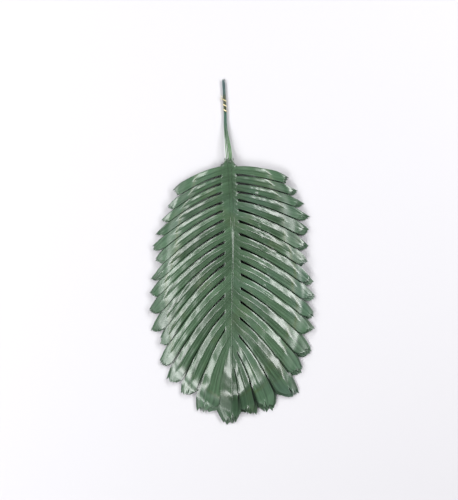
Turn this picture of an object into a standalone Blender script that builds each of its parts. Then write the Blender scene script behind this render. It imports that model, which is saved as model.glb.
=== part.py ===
"""Bundle of six pressed feather-palm leaves on wire stems, held by a twist tie.

Metres, +Z up. The bundle lies face up on a flat surface at z = 0, its stems towards +Y
and its leaf tips towards -Y. Every leaf is cut with one pattern, so leaf 1 lies on the
surface and leaf 6 on top, nested in each other like spoons.
"""
import math
import random

import bmesh
import bpy
from mathutils import Vector

MM = 0.001

# From the pattern's zero to the point under the middle of the whole bundle
TO_MIDDLE = (-4.5 * MM, -2.4 * MM, 0.0)

# The stack of leaves
LEAF_COUNT = 6
SHEET = 0.8 * MM
PITCH_AT_RIB = 3.8 * MM
PITCH_AT_TIPS = 2.4 * MM

# The low dome that the bundle bulges to: its top, its centre and its half sizes
DOME_HEIGHT = 18.0 * MM
DOME_CENTRE = (4.0 * MM, -42.0 * MM)
DOME_HALF_WIDTH = 150.0 * MM
DOME_HALF_LENGTH = 288.0 * MM
DOME_POWER = 1.1

# The rib and the edges of the plain web beside it, as (x, y) from the collar to the end
RIB_LINE = ((-2, 188), (3, 106), (6, 3), (4, -99), (4, -202), (4, -226))
LEFT_WEB_EDGE = ((-14, 178), (-17, 140), (-14, 90), (-10, 20), (-10, -60), (-9, -157), (-5, -206))
RIGHT_WEB_EDGE = ((9, 176), (12, 140), (16, 70), (21, -30), (20, -110), (16, -190), (9, -239))
RIB_HALF_WIDTH = 2.5 * MM
RIB_RELIEF = 1.2 * MM
RIDGE_STEPS = 9
COLLAR_TOP = 193.0 * MM
COLLAR_HALF_WIDTH = 7.5 * MM

# Where each slot starts on the web's edge, from the collar's corner to the end leaflet
LEFT_SLOTS = (177, 154, 138, 120, 100, 83, 64, 42, 20, -2, -25, -54, -88, -122, -157, -206)
RIGHT_SLOTS = (176, 156, 139, 121, 105, 85, 62, 36, 8, -19, -46, -74, -101, -134, -170, -204, -239)
VEIN_RISE_AT_COLLAR = 2.0 * MM
VEIN_RISE_AT_END = 16.0 * MM

# The point of each leaflet, as (x, y)
LEFT_TIPS = (
    (-114, 120), (-123, 89), (-137, 60), (-146, 35), (-153, 5), (-148, -22), (-154, -58), (-160, -91),
    (-160, -126), (-150, -163), (-141, -194), (-138, -235), (-121, -272), (-90, -299), (-53, -325),
)
RIGHT_TIPS = (
    (117, 148), (134, 121), (142, 99), (154, 71), (154, 42), (153, 9), (156, -22), (162, -60),
    (167, -95), (168, -134), (166, -163), (156, -210), (142, -245), (131, -294), (72, -325), (35, -333),
)
END_LEAFLET = ((4, -226), (0, -347))
LEFT_ARCH = 0.045
RIGHT_ARCH = 0.035
ARCH_PLACE = 0.4

# Along a leaflet from its root (0) to its point (1): where its rows of vertices lie, the
# height of its vein, half the gap to its neighbour, and the share of its width that is left
ROWS = (0.0, 0.025, 0.42, 0.84, 1.0)
VEIN_RELIEF = (0.6 * MM, 0.7 * MM, 1.0 * MM, 0.0, 0.0)
HALF_GAP = (0.0, 1.4 * MM, 1.1 * MM, 0.8 * MM, 0.8 * MM)
UPPER_WIDTH = (1.0, 1.0, 1.0, 1.0, 0.55)
LOWER_WIDTH = (1.0, 1.0, 1.0, 0.92, 0.35)
NOTCH_DEPTH = 0.06
LOWER_TOOTH = 0.03
LEFT_END_SLIT_ROW = 3
RIGHT_END_SLIT_ROW = 1

# How each leaf lies, leaf 1 first: its sideways shift at the collar, turned back so that the
# leaves cross further down, and how much wider and longer each leaf is than the one above
COLLAR_SHIFTS = (5.5 * MM, -2.5 * MM, 1.2 * MM, -5.5 * MM, 3.2 * MM, 0.0)
CROSSING_DISTANCE = 260.0 * MM
SPREAD_STEP = 0.008
LENGTH_STEP = 0.003
TIP_SHIFT = 4.0 * MM
SEED = 7

# The stems, and the two ends (x, y) of the bundle's straight axis through the tie
STEM_RADIUS = 0.9 * MM
STEM_DROP = 1.75 * MM
STEM_START_Y = -160.0 * MM
STEM_END_Y = 351.0 * MM
STEM_STAGGER = (2.0 * MM, -3.0 * MM, 0.0, 1.0 * MM, -4.5 * MM, -1.0 * MM)
STEPS_UNDER_BLADE = 12
STEPS_TO_BUNDLE = 9
STEPS_IN_BUNDLE = 3
BUNDLE_START = (-9.8 * MM, 282.0 * MM)
BUNDLE_END = (-13.7 * MM, 356.0 * MM)
GATHER_START = 196.0 * MM
GATHER_END = 278.0 * MM
PACKING_RADIUS = 2.1 * MM
PACKING_ANGLES = (306.0, 234.0, None, 162.0, 18.0, 90.0)

# The twist tie
TIE_GAP = 0.3 * MM
TIE_THICKNESS = 0.5 * MM
TIE_BAND = 3.0 * MM
TIE_PITCH = 10.4 * MM
TIE_TURNS = 3
TIE_START_Y = 285.0 * MM
TIE_STEPS = 24
TAIL_LENGTH = 9.0 * MM
TAIL_RADIUS = 0.6 * MM
TAIL_TWIST_RADIUS = 0.45 * MM
TAIL_TURNS = 1.5
TAIL_STEPS = 12
TAIL_DIRECTION = (-0.88, 0.42, 0.22)

BUNDLE_RADIUS = PACKING_RADIUS + STEM_RADIUS
BUNDLE_HEIGHT = BUNDLE_RADIUS + TIE_GAP + TIE_THICKNESS


def clear_scene():
    """Remove every object of the opening scene."""
    for thing in list(bpy.data.objects):
        bpy.data.objects.remove(thing)


def material(name, colour, roughness, metallic=0.0):
    """Return a Principled material."""
    made = bpy.data.materials.new(name)
    made.use_nodes = True
    shader = made.node_tree.nodes["Principled BSDF"]
    shader.inputs["Base Color"].default_value = (*colour, 1.0)
    shader.inputs["Roughness"].default_value = roughness
    shader.inputs["Metallic"].default_value = metallic
    return made


def x_on_line(points, y):
    """Return x at y on a smooth line through (x, y) points in millimetres, y falling or rising."""
    ordered = sorted(points, key=lambda point: point[1])
    spot = min(max(y / MM, ordered[0][1]), ordered[-1][1])
    last = len(ordered) - 1
    i = next(n for n in range(last) if spot <= ordered[n + 1][1])
    before, start = ordered[max(i - 1, 0)], ordered[i]
    end, after = ordered[i + 1], ordered[min(i + 2, last)]
    run = end[1] - start[1]
    t = (spot - start[1]) / run
    slope_in = (end[0] - before[0]) / (end[1] - before[1]) * run
    slope_out = (after[0] - start[0]) / (after[1] - start[1]) * run
    x = (
        (2 * t**3 - 3 * t**2 + 1) * start[0] + (t**3 - 2 * t**2 + t) * slope_in
        + (3 * t**2 - 2 * t**3) * end[0] + (t**3 - t**2) * slope_out
    )
    return x * MM


def lies_at(x, y):
    """Return how far out (x, y) lies on the dome: 0 at its centre, 1 at its rim."""
    across = (x - DOME_CENTRE[0]) / DOME_HALF_WIDTH
    along = (y - DOME_CENTRE[1]) / DOME_HALF_LENGTH
    return min(across * across + along * along, 1.0)


def underside(x, y, layer):
    """Return the height of the underside of one leaf's plain sheet at (x, y)."""
    rim = lies_at(x, y)
    dome = DOME_HEIGHT * (1.0 - rim) ** DOME_POWER
    return dome + layer * (PITCH_AT_RIB + (PITCH_AT_TIPS - PITCH_AT_RIB) * rim)


class Leaflet:
    """One leaflet's midline, an arch from its root to its point, in the pattern's plane."""

    def __init__(self, root, tip, arch):
        self.root = Vector(root)
        self.tip = Vector(tip)
        chord = self.tip - self.root
        side = Vector((-chord.y, chord.x))
        if side.y < 0.0:
            side = -side
        self.bend = self.root + chord * ARCH_PLACE + side * 2.0 * arch

    def at(self, s):
        """Return the midline's point at the share s of its length."""
        return self.root * (1 - s) ** 2 + self.bend * 2 * s * (1 - s) + self.tip * s**2


class Side:
    """The slots, leaflets and boundaries on one side of the rib."""

    def __init__(self, slots, web_edge, tips, arch, end, slit_row, shifts):
        self.corners = [Vector((x_on_line(web_edge, y * MM), y * MM)) for y in slots]
        self.leaflets = []
        for i, tip in enumerate(tips):
            root = (self.corners[i] + self.corners[i + 1]) / 2
            point = Vector(tip) * MM
            point += (point - root).normalized() * shifts[i]
            self.leaflets.append(Leaflet(root, point, arch))
        self.end = end
        self.slit_row = slit_row
        self.sign = -1.0 if tips[0][0] < 0 else 1.0

    def boundary(self, i, s):
        """Return the point at s on the line halfway between leaflets i - 1 and i."""
        if i == 0:
            return self.leaflets[0].at(s) * 2 - self.boundary(1, s)
        lower = self.leaflets[i] if i < len(self.leaflets) else self.end
        upper = self.leaflets[i - 1]
        to_slot = self.corners[i] - (upper.root + lower.root) / 2
        return (upper.at(s) + lower.at(s)) / 2 + to_slot * (1 - s)

    def rib_edge(self, y):
        """Return the point on the rib's edge on this side at y."""
        return Vector((x_on_line(RIB_LINE, y) + self.sign * RIB_HALF_WIDTH, y))

    def rib_station(self, i):
        """Return where the web's crease from slot i meets the rib's edge."""
        share = i / (len(self.corners) - 1)
        rise = VEIN_RISE_AT_COLLAR + (VEIN_RISE_AT_END - VEIN_RISE_AT_COLLAR) * share
        return self.rib_edge(self.corners[i].y + rise)


def edge_point(leaflet, line, row, width, gap):
    """Return a point of a leaflet's edge: drawn in from its boundary line by the gap and the taper."""
    middle = leaflet.at(ROWS[row])
    outward = line - middle
    reach = outward.length * width - gap
    return middle + outward.normalized() * reach


def grid_leaflet(sheet, rows):
    """Add one leaflet to the sheet: a grid three vertices wide, laid on rows of (point, relief)."""
    last = len(rows) - 1
    made = bmesh.ops.create_grid(sheet, x_segments=2, y_segments=last, size=1.0)["verts"]
    for vertex in made:
        column = round(vertex.co.x + 1.0)
        row = round((vertex.co.y + 1.0) / 2.0 * last)
        point, relief = rows[row][column]
        vertex.co = (point.x, point.y, relief)


def tip_row(leaflet, upper, lower):
    """Return the ragged last row: a long upper tooth, a notch and a shorter lower tooth."""
    back = leaflet.at(1.0 - NOTCH_DEPTH)
    shorter = leaflet.at(1.0 - LOWER_TOOTH) - leaflet.tip
    return [(upper, 0.0), (back, 0.0), (lower + shorter, 0.0)]


def side_leaflet_rows(side, i):
    """Return the rows of leaflet i on a side, from the rib's edge to its point."""
    leaflet = side.leaflets[i]
    high, low = side.rib_station(i), side.rib_station(i + 1)
    rows = [[(high, 0.0), (side.rib_edge((high.y + low.y) / 2), 0.0), (low, 0.0)]]
    last_leaflet = i == len(side.leaflets) - 1
    for row, s in enumerate(ROWS):
        slit = not last_leaflet or row >= side.slit_row
        lower_gap = HALF_GAP[row] if slit else 0.0
        upper_gap = HALF_GAP[row] if i > 0 else 0.0
        upper = edge_point(leaflet, side.boundary(i, s), row, UPPER_WIDTH[row], upper_gap)
        lower = edge_point(leaflet, side.boundary(i + 1, s), row, LOWER_WIDTH[row], lower_gap)
        rows.append([(upper, 0.0), (leaflet.at(s), VEIN_RELIEF[row]), (lower, 0.0)])
    rows[-1] = tip_row(leaflet, rows[-1][0][0], rows[-1][2][0])
    return rows


def end_leaflet_rows(left, right):
    """Return the rows of the leaflet at the rib's end, between the two sides."""
    leaflet = left.end
    last_left, last_right = len(left.leaflets), len(right.leaflets)
    high, low = left.rib_station(last_left), right.rib_station(last_right)
    rib_end = Vector((x_on_line(RIB_LINE, (high.y + low.y) / 2), (high.y + low.y) / 2))
    rows = [[(high, 0.0), (rib_end, RIB_RELIEF), (low, 0.0)]]
    for row, s in enumerate(ROWS):
        ends = []
        for side, last in ((left, last_left), (right, last_right)):
            gap = HALF_GAP[row] if row >= side.slit_row else 0.0
            ends.append(edge_point(leaflet, side.boundary(last, s), row, UPPER_WIDTH[row], gap))
        rows.append([(ends[0], 0.0), (leaflet.at(s), VEIN_RELIEF[row]), (ends[1], 0.0)])
    rows[-1] = tip_row(leaflet, rows[-1][0][0], rows[-1][2][0])
    return rows


def lace(sheet, first, second):
    """Fill the strip between two chains of (point, relief), both from the stem down, with triangles."""
    chains = [
        [sheet.verts.new((point.x, point.y, relief)) for point, relief in chain]
        for chain in (first, second)
    ]
    i = j = 0
    while i < len(first) - 1 or j < len(second) - 1:
        first_left = i < len(first) - 1
        second_left = j < len(second) - 1
        if first_left and (not second_left or first[i + 1][0].y >= second[j + 1][0].y):
            sheet.faces.new((chains[0][i], chains[0][i + 1], chains[1][j]))
            i += 1
        else:
            sheet.faces.new((chains[0][i], chains[1][j + 1], chains[1][j]))
            j += 1


def rib_chain(side):
    """Return a side's chain of points along the rib's edge, from the collar's top down."""
    stations = [side.rib_station(i) for i in range(len(side.corners))]
    chain = [side.rib_edge(COLLAR_TOP), stations[0]]
    for high, low in zip(stations, stations[1:]):
        chain += [side.rib_edge((high.y + low.y) / 2), low]
    return [(point, 0.0) for point in chain]


def build_rib(sheet, left, right):
    """Add the raised rib between both webs, and the collar's two flaps."""
    chains = [rib_chain(left), rib_chain(right)]
    end_y = (chains[0][-1][0].y + chains[1][-1][0].y) / 2
    ridge = []
    for n in range(RIDGE_STEPS + 1):
        y = COLLAR_TOP + (end_y - COLLAR_TOP) * n / RIDGE_STEPS
        ridge.append((Vector((x_on_line(RIB_LINE, y), y)), RIB_RELIEF))
    for side, chain in zip((left, right), chains):
        lace(sheet, chain, ridge)
        top = x_on_line(RIB_LINE, COLLAR_TOP) + side.sign * COLLAR_HALF_WIDTH
        flap = [(Vector((top, COLLAR_TOP)), 0.0), (side.corners[0], 0.0)]
        lace(sheet, flap, chain[:2])


def place_point(x, y, layer):
    """Return where a pattern point lies on one leaf: spread, then turned about the collar."""
    below = LEAF_COUNT - 1 - layer
    rib = x_on_line(RIB_LINE, y)
    wide = rib + (x - rib) * (1.0 + SPREAD_STEP * below)
    down = (y - COLLAR_TOP) * (1.0 + LENGTH_STEP * below)
    shift = COLLAR_SHIFTS[layer]
    turn = shift / CROSSING_DISTANCE
    return wide + shift + turn * down, COLLAR_TOP + down - turn * wide


def tip_shifts(count, layer, draw):
    """Return how much longer each leaflet of a lower leaf is; the top leaf keeps the pattern."""
    if layer == LEAF_COUNT - 1:
        return [0.0] * count
    return [draw.uniform(-1.0, 1.0) * TIP_SHIFT for _ in range(count)]


def build_blade(layer, look):
    """Build one leaf's blade: the pattern laid on the dome, made thick by Solidify."""
    draw = random.Random(SEED + layer)
    end = Leaflet(Vector(END_LEAFLET[0]) * MM, Vector(END_LEAFLET[1]) * MM, 0.0)
    left = Side(LEFT_SLOTS, LEFT_WEB_EDGE, LEFT_TIPS, LEFT_ARCH, end, LEFT_END_SLIT_ROW,
                tip_shifts(len(LEFT_TIPS), layer, draw))
    right = Side(RIGHT_SLOTS, RIGHT_WEB_EDGE, RIGHT_TIPS, RIGHT_ARCH, end, RIGHT_END_SLIT_ROW,
                 tip_shifts(len(RIGHT_TIPS), layer, draw))
    sheet = bmesh.new()
    for side in (left, right):
        for i in range(len(side.leaflets)):
            grid_leaflet(sheet, side_leaflet_rows(side, i))
    grid_leaflet(sheet, end_leaflet_rows(left, right))
    build_rib(sheet, left, right)
    bmesh.ops.remove_doubles(sheet, verts=sheet.verts[:], dist=0.01 * MM)
    for vertex in sheet.verts:
        x, y = place_point(vertex.co.x, vertex.co.y, layer)
        vertex.co = (x, y, underside(x, y, layer) + SHEET + vertex.co.z)
    bmesh.ops.triangulate(sheet, faces=sheet.faces[:])
    bmesh.ops.recalc_face_normals(sheet, faces=sheet.faces[:])
    if sum(face.normal.z for face in sheet.faces) < 0.0:
        bmesh.ops.reverse_faces(sheet, faces=sheet.faces[:])
    mesh = bpy.data.meshes.new(f"leaf_{layer + 1}_blade")
    sheet.to_mesh(mesh)
    sheet.free()
    blade = add_object(mesh.name, mesh, look)
    thick = blade.modifiers.new("Thickness", "SOLIDIFY")
    thick.thickness = SHEET
    thick.offset = -1.0
    return blade


def add_object(name, data, look):
    """Link a new object with one material into the leaves' collection."""
    made = bpy.data.objects.new(name, data)
    made.parent = middle
    data.materials.append(look)
    parts.objects.link(made)
    return made


def bundle_x(y):
    """Return x at y on the bundle's straight axis."""
    share = (y - BUNDLE_START[1]) / (BUNDLE_END[1] - BUNDLE_START[1])
    return BUNDLE_START[0] + (BUNDLE_END[0] - BUNDLE_START[0]) * share


def bundle_point(y, layer):
    """Return where a stem's centre lies in the gathered bundle at y."""
    angle = PACKING_ANGLES[layer]
    x, z = bundle_x(y), BUNDLE_HEIGHT
    if angle is not None:
        x += PACKING_RADIUS * math.cos(math.radians(angle))
        z += PACKING_RADIUS * math.sin(math.radians(angle))
    return Vector((x, y, z))


def rib_point(y, layer):
    """Return where a stem's centre lies under its own blade's rib at y."""
    pattern_y = min(y, COLLAR_TOP)
    x, _ = place_point(x_on_line(RIB_LINE, pattern_y), pattern_y, layer)
    z = underside(x, pattern_y, layer) + RIB_RELIEF - STEM_DROP
    return Vector((x, y, z))


def stem_point(y, layer):
    """Return a stem's centre at y: under the rib, gathered, or in the bundle."""
    t = min(max((y - GATHER_START) / (GATHER_END - GATHER_START), 0.0), 1.0)
    ease = t * t * (3.0 - 2.0 * t)
    return rib_point(y, layer).lerp(bundle_point(y, layer), ease)


def tube(name, points, radius):
    """Return a closed round tube through points, as a curve."""
    curve = bpy.data.curves.new(name, "CURVE")
    curve.dimensions = "3D"
    curve.bevel_depth = radius
    curve.bevel_resolution = 2
    curve.use_fill_caps = True
    spline = curve.splines.new("POLY")
    spline.points.add(len(points) - 1)
    for spot, point in zip(spline.points, points):
        spot.co = (*point, 1.0)
    return curve


def build_stem(layer, look):
    """Build one leaf's stem, from under the rib to its cut end."""
    stretches = (
        (STEM_START_Y, GATHER_START, STEPS_UNDER_BLADE),
        (GATHER_START, GATHER_END, STEPS_TO_BUNDLE),
        (GATHER_END, STEM_END_Y + STEM_STAGGER[layer], STEPS_IN_BUNDLE),
    )
    points = [stem_point(STEM_START_Y, layer)]
    for start, end, steps in stretches:
        points += [stem_point(start + (end - start) * (n + 1) / steps, layer) for n in range(steps)]
    name = f"leaf_{layer + 1}_stem"
    return add_object(name, tube(name, points, STEM_RADIUS), look)


def meshed(curve_object):
    """Replace a curve object by a mesh object of the same shape with its caps welded."""
    graph = bpy.context.evaluated_depsgraph_get()
    mesh = bpy.data.meshes.new_from_object(curve_object.evaluated_get(graph))
    body = bmesh.new()
    body.from_mesh(mesh)
    bmesh.ops.remove_doubles(body, verts=body.verts[:], dist=0.001 * MM)
    body.to_mesh(mesh)
    body.free()
    made = bpy.data.objects.new(curve_object.name, mesh)
    made.matrix_world = curve_object.matrix_world
    bpy.data.objects.remove(curve_object)
    return made


def tie_axis():
    """Return the tie's lower end on the bundle's line and the direction of its axis."""
    end_y = TIE_START_Y + TIE_TURNS * TIE_PITCH
    low = Vector((bundle_x(TIE_START_Y), TIE_START_Y, BUNDLE_HEIGHT))
    high = Vector((bundle_x(end_y), end_y, BUNDLE_HEIGHT))
    return low, (high - low).normalized()


def build_tail(n, start, look):
    """Build one of the tie's two twisted ends, as a mesh object in the cutters' collection."""
    axis = Vector(TAIL_DIRECTION).normalized()
    side = axis.cross(Vector((0.0, 0.0, 1.0))).normalized()
    up = axis.cross(side)
    points = []
    for k in range(TAIL_STEPS + 1):
        turn = math.pi * n + math.tau * TAIL_TURNS * k / TAIL_STEPS
        twist = side * math.cos(turn) + up * math.sin(turn)
        points.append(start + axis * (TAIL_LENGTH * k / TAIL_STEPS) + twist * TAIL_TWIST_RADIUS)
    tail = bpy.data.objects.new(f"tie_tail_{n + 1}", tube(f"tie_tail_{n + 1}", points, TAIL_RADIUS))
    bpy.context.scene.collection.objects.link(tail)
    tail = meshed(tail)
    tail.parent = middle
    tail.data.materials.append(look)
    tail.hide_render = True
    tail.display_type = "WIRE"
    cutters.objects.link(tail)
    return tail


def build_tie(look):
    """Build the twist tie: a band wound round the stems, and its twisted ends."""
    low, axis = tie_axis()
    radius = BUNDLE_RADIUS + TIE_GAP
    mesh = bpy.data.meshes.new("twist_tie")
    band = bmesh.new()
    foot = band.verts.new((radius, 0.0, -TIE_BAND / 2))
    head = band.verts.new((radius, 0.0, TIE_BAND / 2))
    band.edges.new((foot, head))
    band.to_mesh(mesh)
    band.free()
    tie = add_object("twist_tie", mesh, look)
    tie.location = low
    tie.rotation_euler = axis.to_track_quat("Z", "Y").to_euler()
    winding = tie.modifiers.new("Winding", "SCREW")
    winding.axis = "Z"
    winding.angle = math.tau
    winding.screw_offset = TIE_PITCH
    winding.iterations = TIE_TURNS
    winding.steps = TIE_STEPS
    winding.render_steps = TIE_STEPS
    thick = tie.modifiers.new("Thickness", "SOLIDIFY")
    thick.thickness = TIE_THICKNESS
    thick.offset = -1.0
    end = low + axis * (TIE_TURNS * TIE_PITCH)
    across = Vector((-axis.y, axis.x, 0.0))
    start = end + across * (radius + TIE_THICKNESS / 2)
    for n in range(2):
        union = tie.modifiers.new(f"Twisted end {n + 1}", "BOOLEAN")
        union.operation = "UNION"
        union.solver = "EXACT"
        union.object = build_tail(n, start, look)
    return tie


clear_scene()
parts = bpy.data.collections.new("palm_leaf_bundle")
cutters = bpy.data.collections.new("cutters")
for made_collection in (parts, cutters):
    bpy.context.scene.collection.children.link(made_collection)

middle = bpy.data.objects.new("bundle_middle", None)
middle.location = TO_MIDDLE
parts.objects.link(middle)

leaf_green = material("Leaf green", (0.094, 0.168, 0.106), 0.38)
stem_green = material("Stem green", (0.205, 0.345, 0.216), 0.42)
tie_gold = material("Tie gold", (0.72, 0.58, 0.27), 0.3, 1.0)
for leaf in range(LEAF_COUNT):
    build_blade(leaf, leaf_green)
    build_stem(leaf, stem_green)
build_tie(tie_gold)
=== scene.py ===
"""Dressed model of six pressed palm leaves of coated cloth, held by a twist tie round their wire stems.

Metres, +Z up, the leaves lie face up on the floor at z = 0 with their stems towards +Y.
"""
import logging
import math
import random
from dataclasses import dataclass, field
from enum import Enum

import bmesh
import bpy
import numpy as np
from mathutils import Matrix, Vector


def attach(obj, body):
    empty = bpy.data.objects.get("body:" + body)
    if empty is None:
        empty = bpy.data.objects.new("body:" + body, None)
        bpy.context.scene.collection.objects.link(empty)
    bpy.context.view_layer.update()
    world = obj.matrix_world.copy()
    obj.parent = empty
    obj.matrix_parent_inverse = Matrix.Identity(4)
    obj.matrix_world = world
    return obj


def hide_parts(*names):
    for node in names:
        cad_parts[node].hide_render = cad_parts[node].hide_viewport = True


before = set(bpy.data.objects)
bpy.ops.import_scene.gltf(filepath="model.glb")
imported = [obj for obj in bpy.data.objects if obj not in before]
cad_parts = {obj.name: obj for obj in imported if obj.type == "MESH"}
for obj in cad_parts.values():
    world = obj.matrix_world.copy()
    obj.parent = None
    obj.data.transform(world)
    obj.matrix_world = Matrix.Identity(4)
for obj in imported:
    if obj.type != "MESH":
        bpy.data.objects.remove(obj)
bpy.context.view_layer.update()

logging.basicConfig(level=logging.INFO, format="%(message)s")
log = logging.getLogger("leaves")

MM = 0.001
SEAM = 0.0005 * MM
Points = tuple[tuple[float, float], ...]
Triple = tuple[float, float, float]


# Small sums

def smoothstep(low: float, high: float, value: np.ndarray) -> np.ndarray:
    """Ease from 0 at low to 1 at high.

    Args:
        low: Where the ease starts.
        high: Where it ends.
        value: Where it is read.

    Returns:
        The eased share, 0 to 1.
    """
    share = np.clip((np.asarray(value, float) - low) / (high - low), 0.0, 1.0)
    return share * share * (3.0 - 2.0 * share)


def hill(distance: np.ndarray, width: float) -> np.ndarray:
    """Return a round hill: 1 where distance is 0, falling off over width."""
    return np.exp(-np.square(distance / width))


def line_x(points: Points, y: np.ndarray) -> np.ndarray:
    """Read x off a smooth line through points.

    Args:
        points: Places (x, y) in millimetres that the line runs through, in any order.
        y: Where to read it, in millimetres.

    Returns:
        The line's x at each y, in millimetres.
    """
    ordered = np.array(sorted(points, key=lambda point: point[1]), float)
    last = len(ordered) - 1
    spot = np.clip(np.asarray(y, float), ordered[0, 1], ordered[-1, 1])
    i = np.clip(np.searchsorted(ordered[:, 1], spot) - 1, 0, last - 1)
    before, start = ordered[np.maximum(i - 1, 0)], ordered[i]
    end, after = ordered[i + 1], ordered[np.minimum(i + 2, last)]
    run = end[..., 1] - start[..., 1]
    t = (spot - start[..., 1]) / run
    slope_in = (end[..., 0] - before[..., 0]) / (end[..., 1] - before[..., 1]) * run
    slope_out = (after[..., 0] - start[..., 0]) / (after[..., 1] - start[..., 1]) * run
    return (
        (2 * t**3 - 3 * t**2 + 1) * start[..., 0] + (t**3 - 2 * t**2 + t) * slope_in
        + (3 * t**2 - 2 * t**3) * end[..., 0] + (t**3 - t**2) * slope_out
    )


def unit(vector: np.ndarray) -> np.ndarray:
    """Return vectors of length one, along the last axis."""
    return vector / np.maximum(np.linalg.norm(vector, axis=-1, keepdims=True), 1e-12)


# The cutting pattern, in millimetres

class Hand(Enum):
    """A side of the rib, seen from above with the stem up."""

    LEFT = -1.0
    RIGHT = 1.0


@dataclass(frozen=True)
class Leaflet:
    """One leaflet's midline, an arch from its root to its point."""

    root: np.ndarray
    tip: np.ndarray
    arch: float
    arch_place: float = 0.4

    @property
    def length(self) -> float:
        """Return the straight distance from root to point."""
        return float(np.linalg.norm(self.tip - self.root))

    @property
    def bend(self) -> np.ndarray:
        """Find the arch's control point.

        Returns:
            The point (x, y), which lies off the straight line towards the stem.
        """
        chord = self.tip - self.root
        side = np.array((-chord[1], chord[0]))
        side = side if side[1] >= 0.0 else -side
        return self.root + chord * self.arch_place + side * 2.0 * self.arch

    def at(self, s: np.ndarray) -> np.ndarray:
        """Return the midline's points at the shares s of its length."""
        s = np.asarray(s, float)[..., None]
        return self.root * (1 - s) ** 2 + self.bend * 2 * s * (1 - s) + self.tip * s**2

    def ahead(self, s: np.ndarray) -> np.ndarray:
        """Return the midline's direction at the shares s."""
        s = np.asarray(s, float)[..., None]
        return unit((self.bend - self.root) * (1 - s) + (self.tip - self.bend) * s)


@dataclass(frozen=True)
class Pattern:
    """The shape that every leaf is cut and pressed to."""

    rib: Points = ((-2, 188), (3, 106), (6, 3), (4, -99), (4, -202), (4, -226))
    left_web: Points = ((-14, 178), (-17, 140), (-14, 90), (-10, 20), (-10, -60), (-9, -157), (-5, -206))
    right_web: Points = ((9, 176), (12, 140), (16, 70), (21, -30), (20, -110), (16, -190), (9, -239))
    left_slots: tuple[float, ...] = (
        177, 154, 138, 120, 100, 83, 64, 42, 20, -2, -25, -54, -88, -122, -157, -206)
    right_slots: tuple[float, ...] = (
        176, 156, 139, 121, 105, 85, 62, 36, 8, -19, -46, -74, -101, -134, -170, -204, -239)
    left_tips: Points = (
        (-114, 120), (-123, 89), (-137, 60), (-146, 35), (-153, 5), (-148, -22), (-154, -58), (-160, -91),
        (-160, -126), (-150, -163), (-141, -194), (-138, -235), (-121, -272), (-90, -299), (-53, -325))
    right_tips: Points = (
        (117, 148), (134, 121), (142, 99), (154, 71), (154, 42), (153, 9), (156, -22), (162, -60),
        (167, -95), (168, -134), (166, -163), (156, -210), (142, -245), (131, -294), (77, -324), (40, -333))
    end_root: tuple[float, float] = (4, -226)
    end_tip: tuple[float, float] = (5, -347)
    left_arch: float = 0.045
    right_arch: float = 0.035
    collar_top: float = 193.0
    vein_rise: tuple[float, float] = (2.0, 16.0)

    def rib_x(self, y: np.ndarray) -> np.ndarray:
        """Return x on the rib's middle line at y."""
        return line_x(self.rib, y)

    def rib_scale(self, y: np.ndarray) -> np.ndarray:
        """Return how wide the rib is at y, as a share of its middle width."""
        return 0.72 + 0.58 * smoothstep(-240.0, 190.0, y)


@dataclass
class Half:
    """The slots and leaflets of one leaf on one side of its rib."""

    pattern: Pattern
    hand: Hand
    stretch: list[float]
    end: Leaflet
    corners: np.ndarray = field(init=False)
    leaflets: list[Leaflet] = field(init=False)

    def __post_init__(self) -> None:
        """Place the slots' corners and the leaflets' midlines."""
        left = self.hand is Hand.LEFT
        cut = self.pattern
        slots = np.array(cut.left_slots if left else cut.right_slots, float)
        web = cut.left_web if left else cut.right_web
        tips = cut.left_tips if left else cut.right_tips
        self.corners = np.stack((line_x(web, slots), slots), axis=-1)
        self.leaflets = []
        for i, tip in enumerate(tips):
            root = (self.corners[i] + self.corners[i + 1]) / 2
            point = np.array(tip, float)
            point = point + unit(point - root) * self.stretch[i]
            self.leaflets.append(Leaflet(root, point, cut.left_arch if left else cut.right_arch))

    def boundary(self, i: int, s: np.ndarray) -> np.ndarray:
        """Find the line halfway between leaflets i - 1 and i.

        Args:
            i: The line's number; 0 lies above the first leaflet.
            s: Shares of its length.

        Returns:
            The line's points at those shares.
        """
        if i == 0:
            return self.leaflets[0].at(s) * 2 - self.boundary(1, s)
        lower = self.leaflets[i] if i < len(self.leaflets) else self.end
        upper = self.leaflets[i - 1]
        to_slot = self.corners[i] - (upper.root + lower.root) / 2
        return (upper.at(s) + lower.at(s)) / 2 + to_slot * (1 - np.asarray(s, float)[..., None])

    def station(self, i: int) -> float:
        """Return the y where the crease from slot i meets the rib."""
        low, high = self.pattern.vein_rise
        return float(self.corners[i][1] + low + (high - low) * i / (len(self.corners) - 1))


# How the leaves lie, in millimetres

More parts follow.
